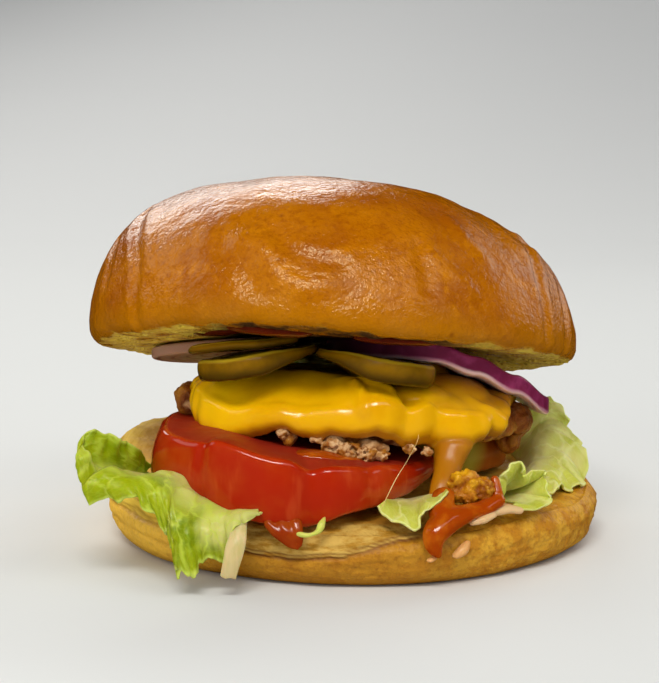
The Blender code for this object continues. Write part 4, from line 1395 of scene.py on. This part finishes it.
def onionMaterial(name, shade, darkSide):
    made, tree, shader, place = startMaterial(name, 0.28, Subsurface_Weight=0.2, Subsurface_Scale=0.003,
                                              Specular_IOR_Level=0.25)
    ring = attribute(tree, "ring")
    step = sums(tree, "SUBTRACT", sums(tree, "MODULO", ring, onion["ringGap"]), onion["ringGap"] / 2)
    line = ranged(tree, sums(tree, "ABSOLUTE", step, 0.0), 0.55, 0.1)
    flesh = blended(tree, ranged(tree, ring, 8.0, 24.0, 0.0, 0.5), (0.74, 0.62, 0.56), (0.62, 0.36, 0.40))
    flesh = blended(tree, times(tree, line, 0.75), flesh, (0.34, 0.06, 0.16))
    skin = mottled(tree, place, (0.165, 0.012, 0.055), (0.26, 0.03, 0.11), 200.0, 0.42, 0.66)
    level = plus(tree, attribute(tree, "level"), times(tree, noiseField(tree, place, 6.0), 0.25))
    outer = times(tree, ranged(tree, ring, 22.6, 23.6), ranged(tree, level, 0.26, 0.42))
    tone = blended(tree, 1.0, blended(tree, outer, flesh, skin), shade, "MULTIPLY")
    # painted shade: the part left of the given edge on x goes near black
    across = axes(tree, place)[0]
    dark = ranged(tree, across, darkSide, darkSide - 0.022, 0.0, 0.85)
    tone = blended(tree, dark, tone, (0.02, 0.006, 0.006))
    feed(tree, shader.inputs["Base Color"], tone)
    addBump(tree, shader, noiseField(tree, place, 1.5), 0.15, 0.3)
    return made


# painted shade: the right onion darkens left of x = 0.022 m, the left onion's finish is a darker copy
makeOnions(onionMaterial("redOnion", (1.0, 0.92, 0.9), 0.022),
           onionMaterial("onionInShade", (0.56, 0.40, 0.28), -0.06))
print("onions made")


# sauces and loose crumbs

sauces = {
    "ketchupTongue": {
        "finish": "ketchup", "voxel": 0.32, "rounds": 5,
        "blobs": (
            ((33.8, -45.8, 17.2, 2.0, 1.5), (30.5, -47.8, 16.0, 2.4, 1.6), (26.8, -50.2, 15.6, 2.7, 2.0),
             (23.0, -52.6, 14.6, 3.3, 2.8), (20.6, -54.6, 12.8, 3.0, 2.5), (19.9, -55.6, 11.0, 2.3, 1.8),
             (20.3, -56.1, 9.3, 1.6, 1.3), (20.9, -56.3, 8.2, 0.8, 0.7)),
            ((22.5, -46.5, 18.6, 2.4, 1.6), (22.0, -49.2, 17.4, 2.8, 1.8), (21.8, -51.6, 15.9, 3.0, 2.2)),
            ((33.5, -44.0, 20.5, 1.2, 2.0), (33.8, -45.0, 18.4, 1.5, 1.7)),
        ),
    },
    "ketchupFlap": {
        "finish": "redKetchup", "voxel": 0.32, "rounds": 4,
        "blobs": (((-14.2, -54.4, 14.4, 1.2, 1.2), (-12.4, -55.2, 12.9, 1.3, 1.3),
                   (-10.2, -55.9, 11.2, 1.1, 1.3), (-8.2, -56.2, 9.8, 0.6, 0.7)),
                  ((-11.4, -54.4, 14.4, 1.5, 1.2), (-10.4, -55.4, 12.8, 1.5, 1.4),
                   (-9.4, -55.9, 11.6, 1.1, 1.2)),
                  ((-8.6, -54.4, 14.6, 1.6, 1.2), (-8.3, -55.4, 12.8, 1.4, 1.4),
                   (-7.9, -55.9, 11.4, 0.9, 1.2), (-7.7, -56.2, 10.4, 0.6, 0.6))),
    },
    "ketchupOnTomato": {
        "finish": "ketchup", "voxel": 0.4, "rounds": 4,
        "blobs": (((-8.0, -44.5, 27.0, 2.8, 0.9), (-4.0, -44.8, 26.6, 3.2, 1.2),
                   (0.5, -44.2, 25.6, 3.2, 1.1), (4.0, -42.0, 25.2, 2.4, 0.8)),),
    },
    # ketchup under the crown, coloured near black as painted shade; its right run also darkens the front of
    # the onion
    "ketchupUnderCrown": {
        "finish": "ketchupPaintedShade", "voxel": 0.5, "rounds": 4,
        "blobs": (
            ((-34.0, -24.0, 50.6, 3.0, 1.1), (-28.0, -30.0, 51.4, 3.6, 1.3),
             (-23.0, -34.0, 52.2, 3.6, 1.5)),
            ((-21.0, -43.0, 54.4, 2.6, 1.5), (-15.0, -44.0, 54.0, 4.0, 1.8), (-8.0, -41.5, 53.0, 3.8, 1.7)),
            ((6.0, -42.5, 51.8, 3.2, 1.3), (13.0, -43.5, 51.5, 3.6, 1.4), (19.0, -41.0, 50.6, 3.2, 1.1)),
        ),
    },
    "pinkSauceRight": {
        "finish": "pink", "voxel": 0.32, "rounds": 4,
        "blobs": (
            ((33.0, -46.4, 15.0, 1.6, 0.9), (35.6, -45.0, 15.2, 2.0, 1.2), (38.4, -43.8, 14.6, 1.4, 0.8)),
            ((28.4, -50.6, 13.6, 1.0, 0.7), (30.4, -49.8, 14.2, 1.4, 0.9), (32.6, -48.4, 14.8, 1.1, 0.7)),
        ),
    },
    "pinkSauceFleck": {
        "finish": "tan", "voxel": 0.25, "rounds": 3,
        "blobs": (((27.2, -52.2, 9.6, 0.7, 0.7), (26.2, -53.0, 8.4, 1.2, 1.0),
                   (24.8, -53.6, 7.4, 1.1, 0.7)),
                  ((20.2, -55.6, 7.4, 0.6, 0.5), (19.2, -56.0, 7.0, 0.8, 0.4))),
    },
}


def sauceMaterial(name, tone, other, gloss, scatter):
    made, tree, shader, place = startMaterial(name, gloss, Subsurface_Weight=0.15, Subsurface_Scale=scatter,
                                              Specular_IOR_Level=0.25, Coat_Weight=0.3, Coat_Roughness=0.05)
    feed(tree, shader.inputs["Base Color"], mottled(tree, place, tone, other, 160.0, 0.42, 0.68))
    addBump(tree, shader, noiseField(tree, place, 1.4), 0.12, 0.3)
    return made


sauceFinishes = {
    "ketchup": sauceMaterial("ketchup", (0.34, 0.045, 0.001), (0.50, 0.12, 0.004), 0.13, 0.002),
    # ketchup coloured near black as painted shade under the crown
    "ketchupPaintedShade": sauceMaterial("ketchupPaintedShade", (0.11, 0.010, 0.001), (0.07, 0.007, 0.001), 0.2, 0.002),
    "redKetchup": sauceMaterial("redKetchup", (0.26, 0.026, 0.001), (0.33, 0.05, 0.003), 0.2, 0.002),
    "pink": sauceMaterial("pinkSauce", (0.70, 0.46, 0.22), (0.62, 0.34, 0.15), 0.4, 0.002),
    "tan": sauceMaterial("tanSauce", (0.70, 0.36, 0.12), (0.62, 0.27, 0.08), 0.3, 0.002),
}
for sauceName, sauce in sauces.items():
    form = bmesh.new()
    for stops in sauce["blobs"]:
        blobPath(form, stops, 5 * len(stops))
    form = remeshed(form, sauce["voxel"], sauce["rounds"])
    swell(form, lambda vertex: 0.25 * lump(*vertex.co, 3.5))
    slot = "cheese" if sauce["finish"] in ("pink", "tan") else "tomato"
    finished(sauceName, form, sauceFinishes[sauce["finish"]], slot)


crumbClumps = (  # x, y, z, width and height of the clump, grains
    (-0.9, -42.2, 28.2, 2.4, 1.7, 90), (2.6, -42.6, 27.4, 2.8, 2.0, 120), (6.2, -42.6, 26.4, 2.6, 1.8, 110),
    (9.6, -42.2, 26.2, 1.6, 1.2, 50), (-4.2, -41.8, 29.8, 1.5, 1.1, 40), (-11.6, -40.4, 30.6, 1.2, 1.4, 30),
    (15.5, -41.2, 27.4, 1.4, 1.0, 30), (19.2, -40.4, 26.6, 1.2, 1.0, 24),
)


def makeStrand(name, points, radius, finish, slot):
    # a thin round strand along a soft curve
    rows = vectors(points)
    form = bmesh.new()
    steps, sides = 60, 10
    rings = []
    for step in range(steps + 1):
        share = step / steps
        here, ahead = curveThrough(rows, share), curveThrough(rows, min(1.0, share + 0.01))
        back = curveThrough(rows, max(0.0, share - 0.01))
        turn = (ahead - back).to_track_quat("Z", "Y")
        wide = radius * (1.0 + 0.35 * math.cos(9.0 * share))
        wide *= 0.35 + 0.65 * math.sin(math.pi * min(1.0, max(0.0, share))) ** 0.5
        rings.append([form.verts.new(here + turn @ Vector((wide * math.cos(a), wide * math.sin(a), 0.0)))
                      for a in [2 * math.pi * side / sides for side in range(sides)]])
    for low, high in zip(rings, rings[1:]):
        for side in range(sides):
            other = (side + 1) % sides
            form.faces.new((low[side], low[other], high[other], high[side]))
    form.faces.new(reversed(rings[0]))
    form.faces.new(rings[-1])
    finished(name, form, finish, slot)


thread = ((17.2, -43.6, 31.0), (16.9, -44.4, 29.6), (14.6, -46.0, 25.6), (12.4, -47.6, 22.4),
          (10.0, -51.4, 18.6), (8.9, -53.4, 17.0))
curl = ((-8.4, -56.4, 12.8), (-6.0, -56.8, 12.6), (-4.0, -56.8, 13.4), (-3.2, -56.2, 14.8),
        (-2.6, -54.6, 15.8))
threadFinish = sauceMaterial("cheeseThread", (0.80, 0.58, 0.26), (0.74, 0.46, 0.14), 0.2, 0.001)
makeStrand("cheeseThread", thread, 0.07, threadFinish, "cheese")
makeStrand("lettuceCurl", curl, 0.65, leafFinishes["pale"], "lettuce")


def makeCrumbs(finish):
    # floury crumbs of the coating caught between the cheese and the tomato
    dice = random.Random(11)
    form = bmesh.new()
    for x, y, z, wide, high, count in crumbClumps:
        for _ in range(4):
            spot = Vector((x + dice.uniform(-0.5, 0.5) * wide, y + dice.uniform(0.1, 0.8),
                           z + dice.uniform(-0.4, 0.4) * high))
            addBlob(form, spot, [high * dice.uniform(0.5, 0.8) for _ in range(3)], finer=2)
        for _ in range(count):
            way = Vector([dice.gauss(0, 1) for _ in range(3)]).normalized()
            spot = Vector((x + way.x * wide * dice.uniform(0.6, 1.0), y + way.y * high * 0.8,
                           z + way.z * high * dice.uniform(0.6, 1.0)))
            size = dice.uniform(0.22, 0.62)
            radii = [size * dice.uniform(0.7, 1.4) for _ in range(3)]
            addBlob(form, spot, radii, [dice.uniform(0, 360) for _ in range(3)], finer=1)
    form = remeshed(form, 0.2, 0)
    height, flour = newLayers(form, "height", "flour")
    for vertex in form.verts:
        spot = vertex.co
        vertex[height] = 0.5 * lump(*spot, 0.9) + 0.4 * lump(*spot, 2.4, 2.0)
        dusted = lump(*spot, 2.6, 5.0) + 0.7 * lump(*spot, 0.8, 3.0) + 0.25 * vertex.normal.z
        vertex[flour] = smoothStep(dusted, -0.25, 0.35)
    swell(form, lambda vertex: 0.22 * vertex[height])
    finished("flouryCrumbs", form, finish, "chicken")


makeCrumbs(chickenFinish)
print("sauces and crumbs made")

bpy.context.view_layer.update()
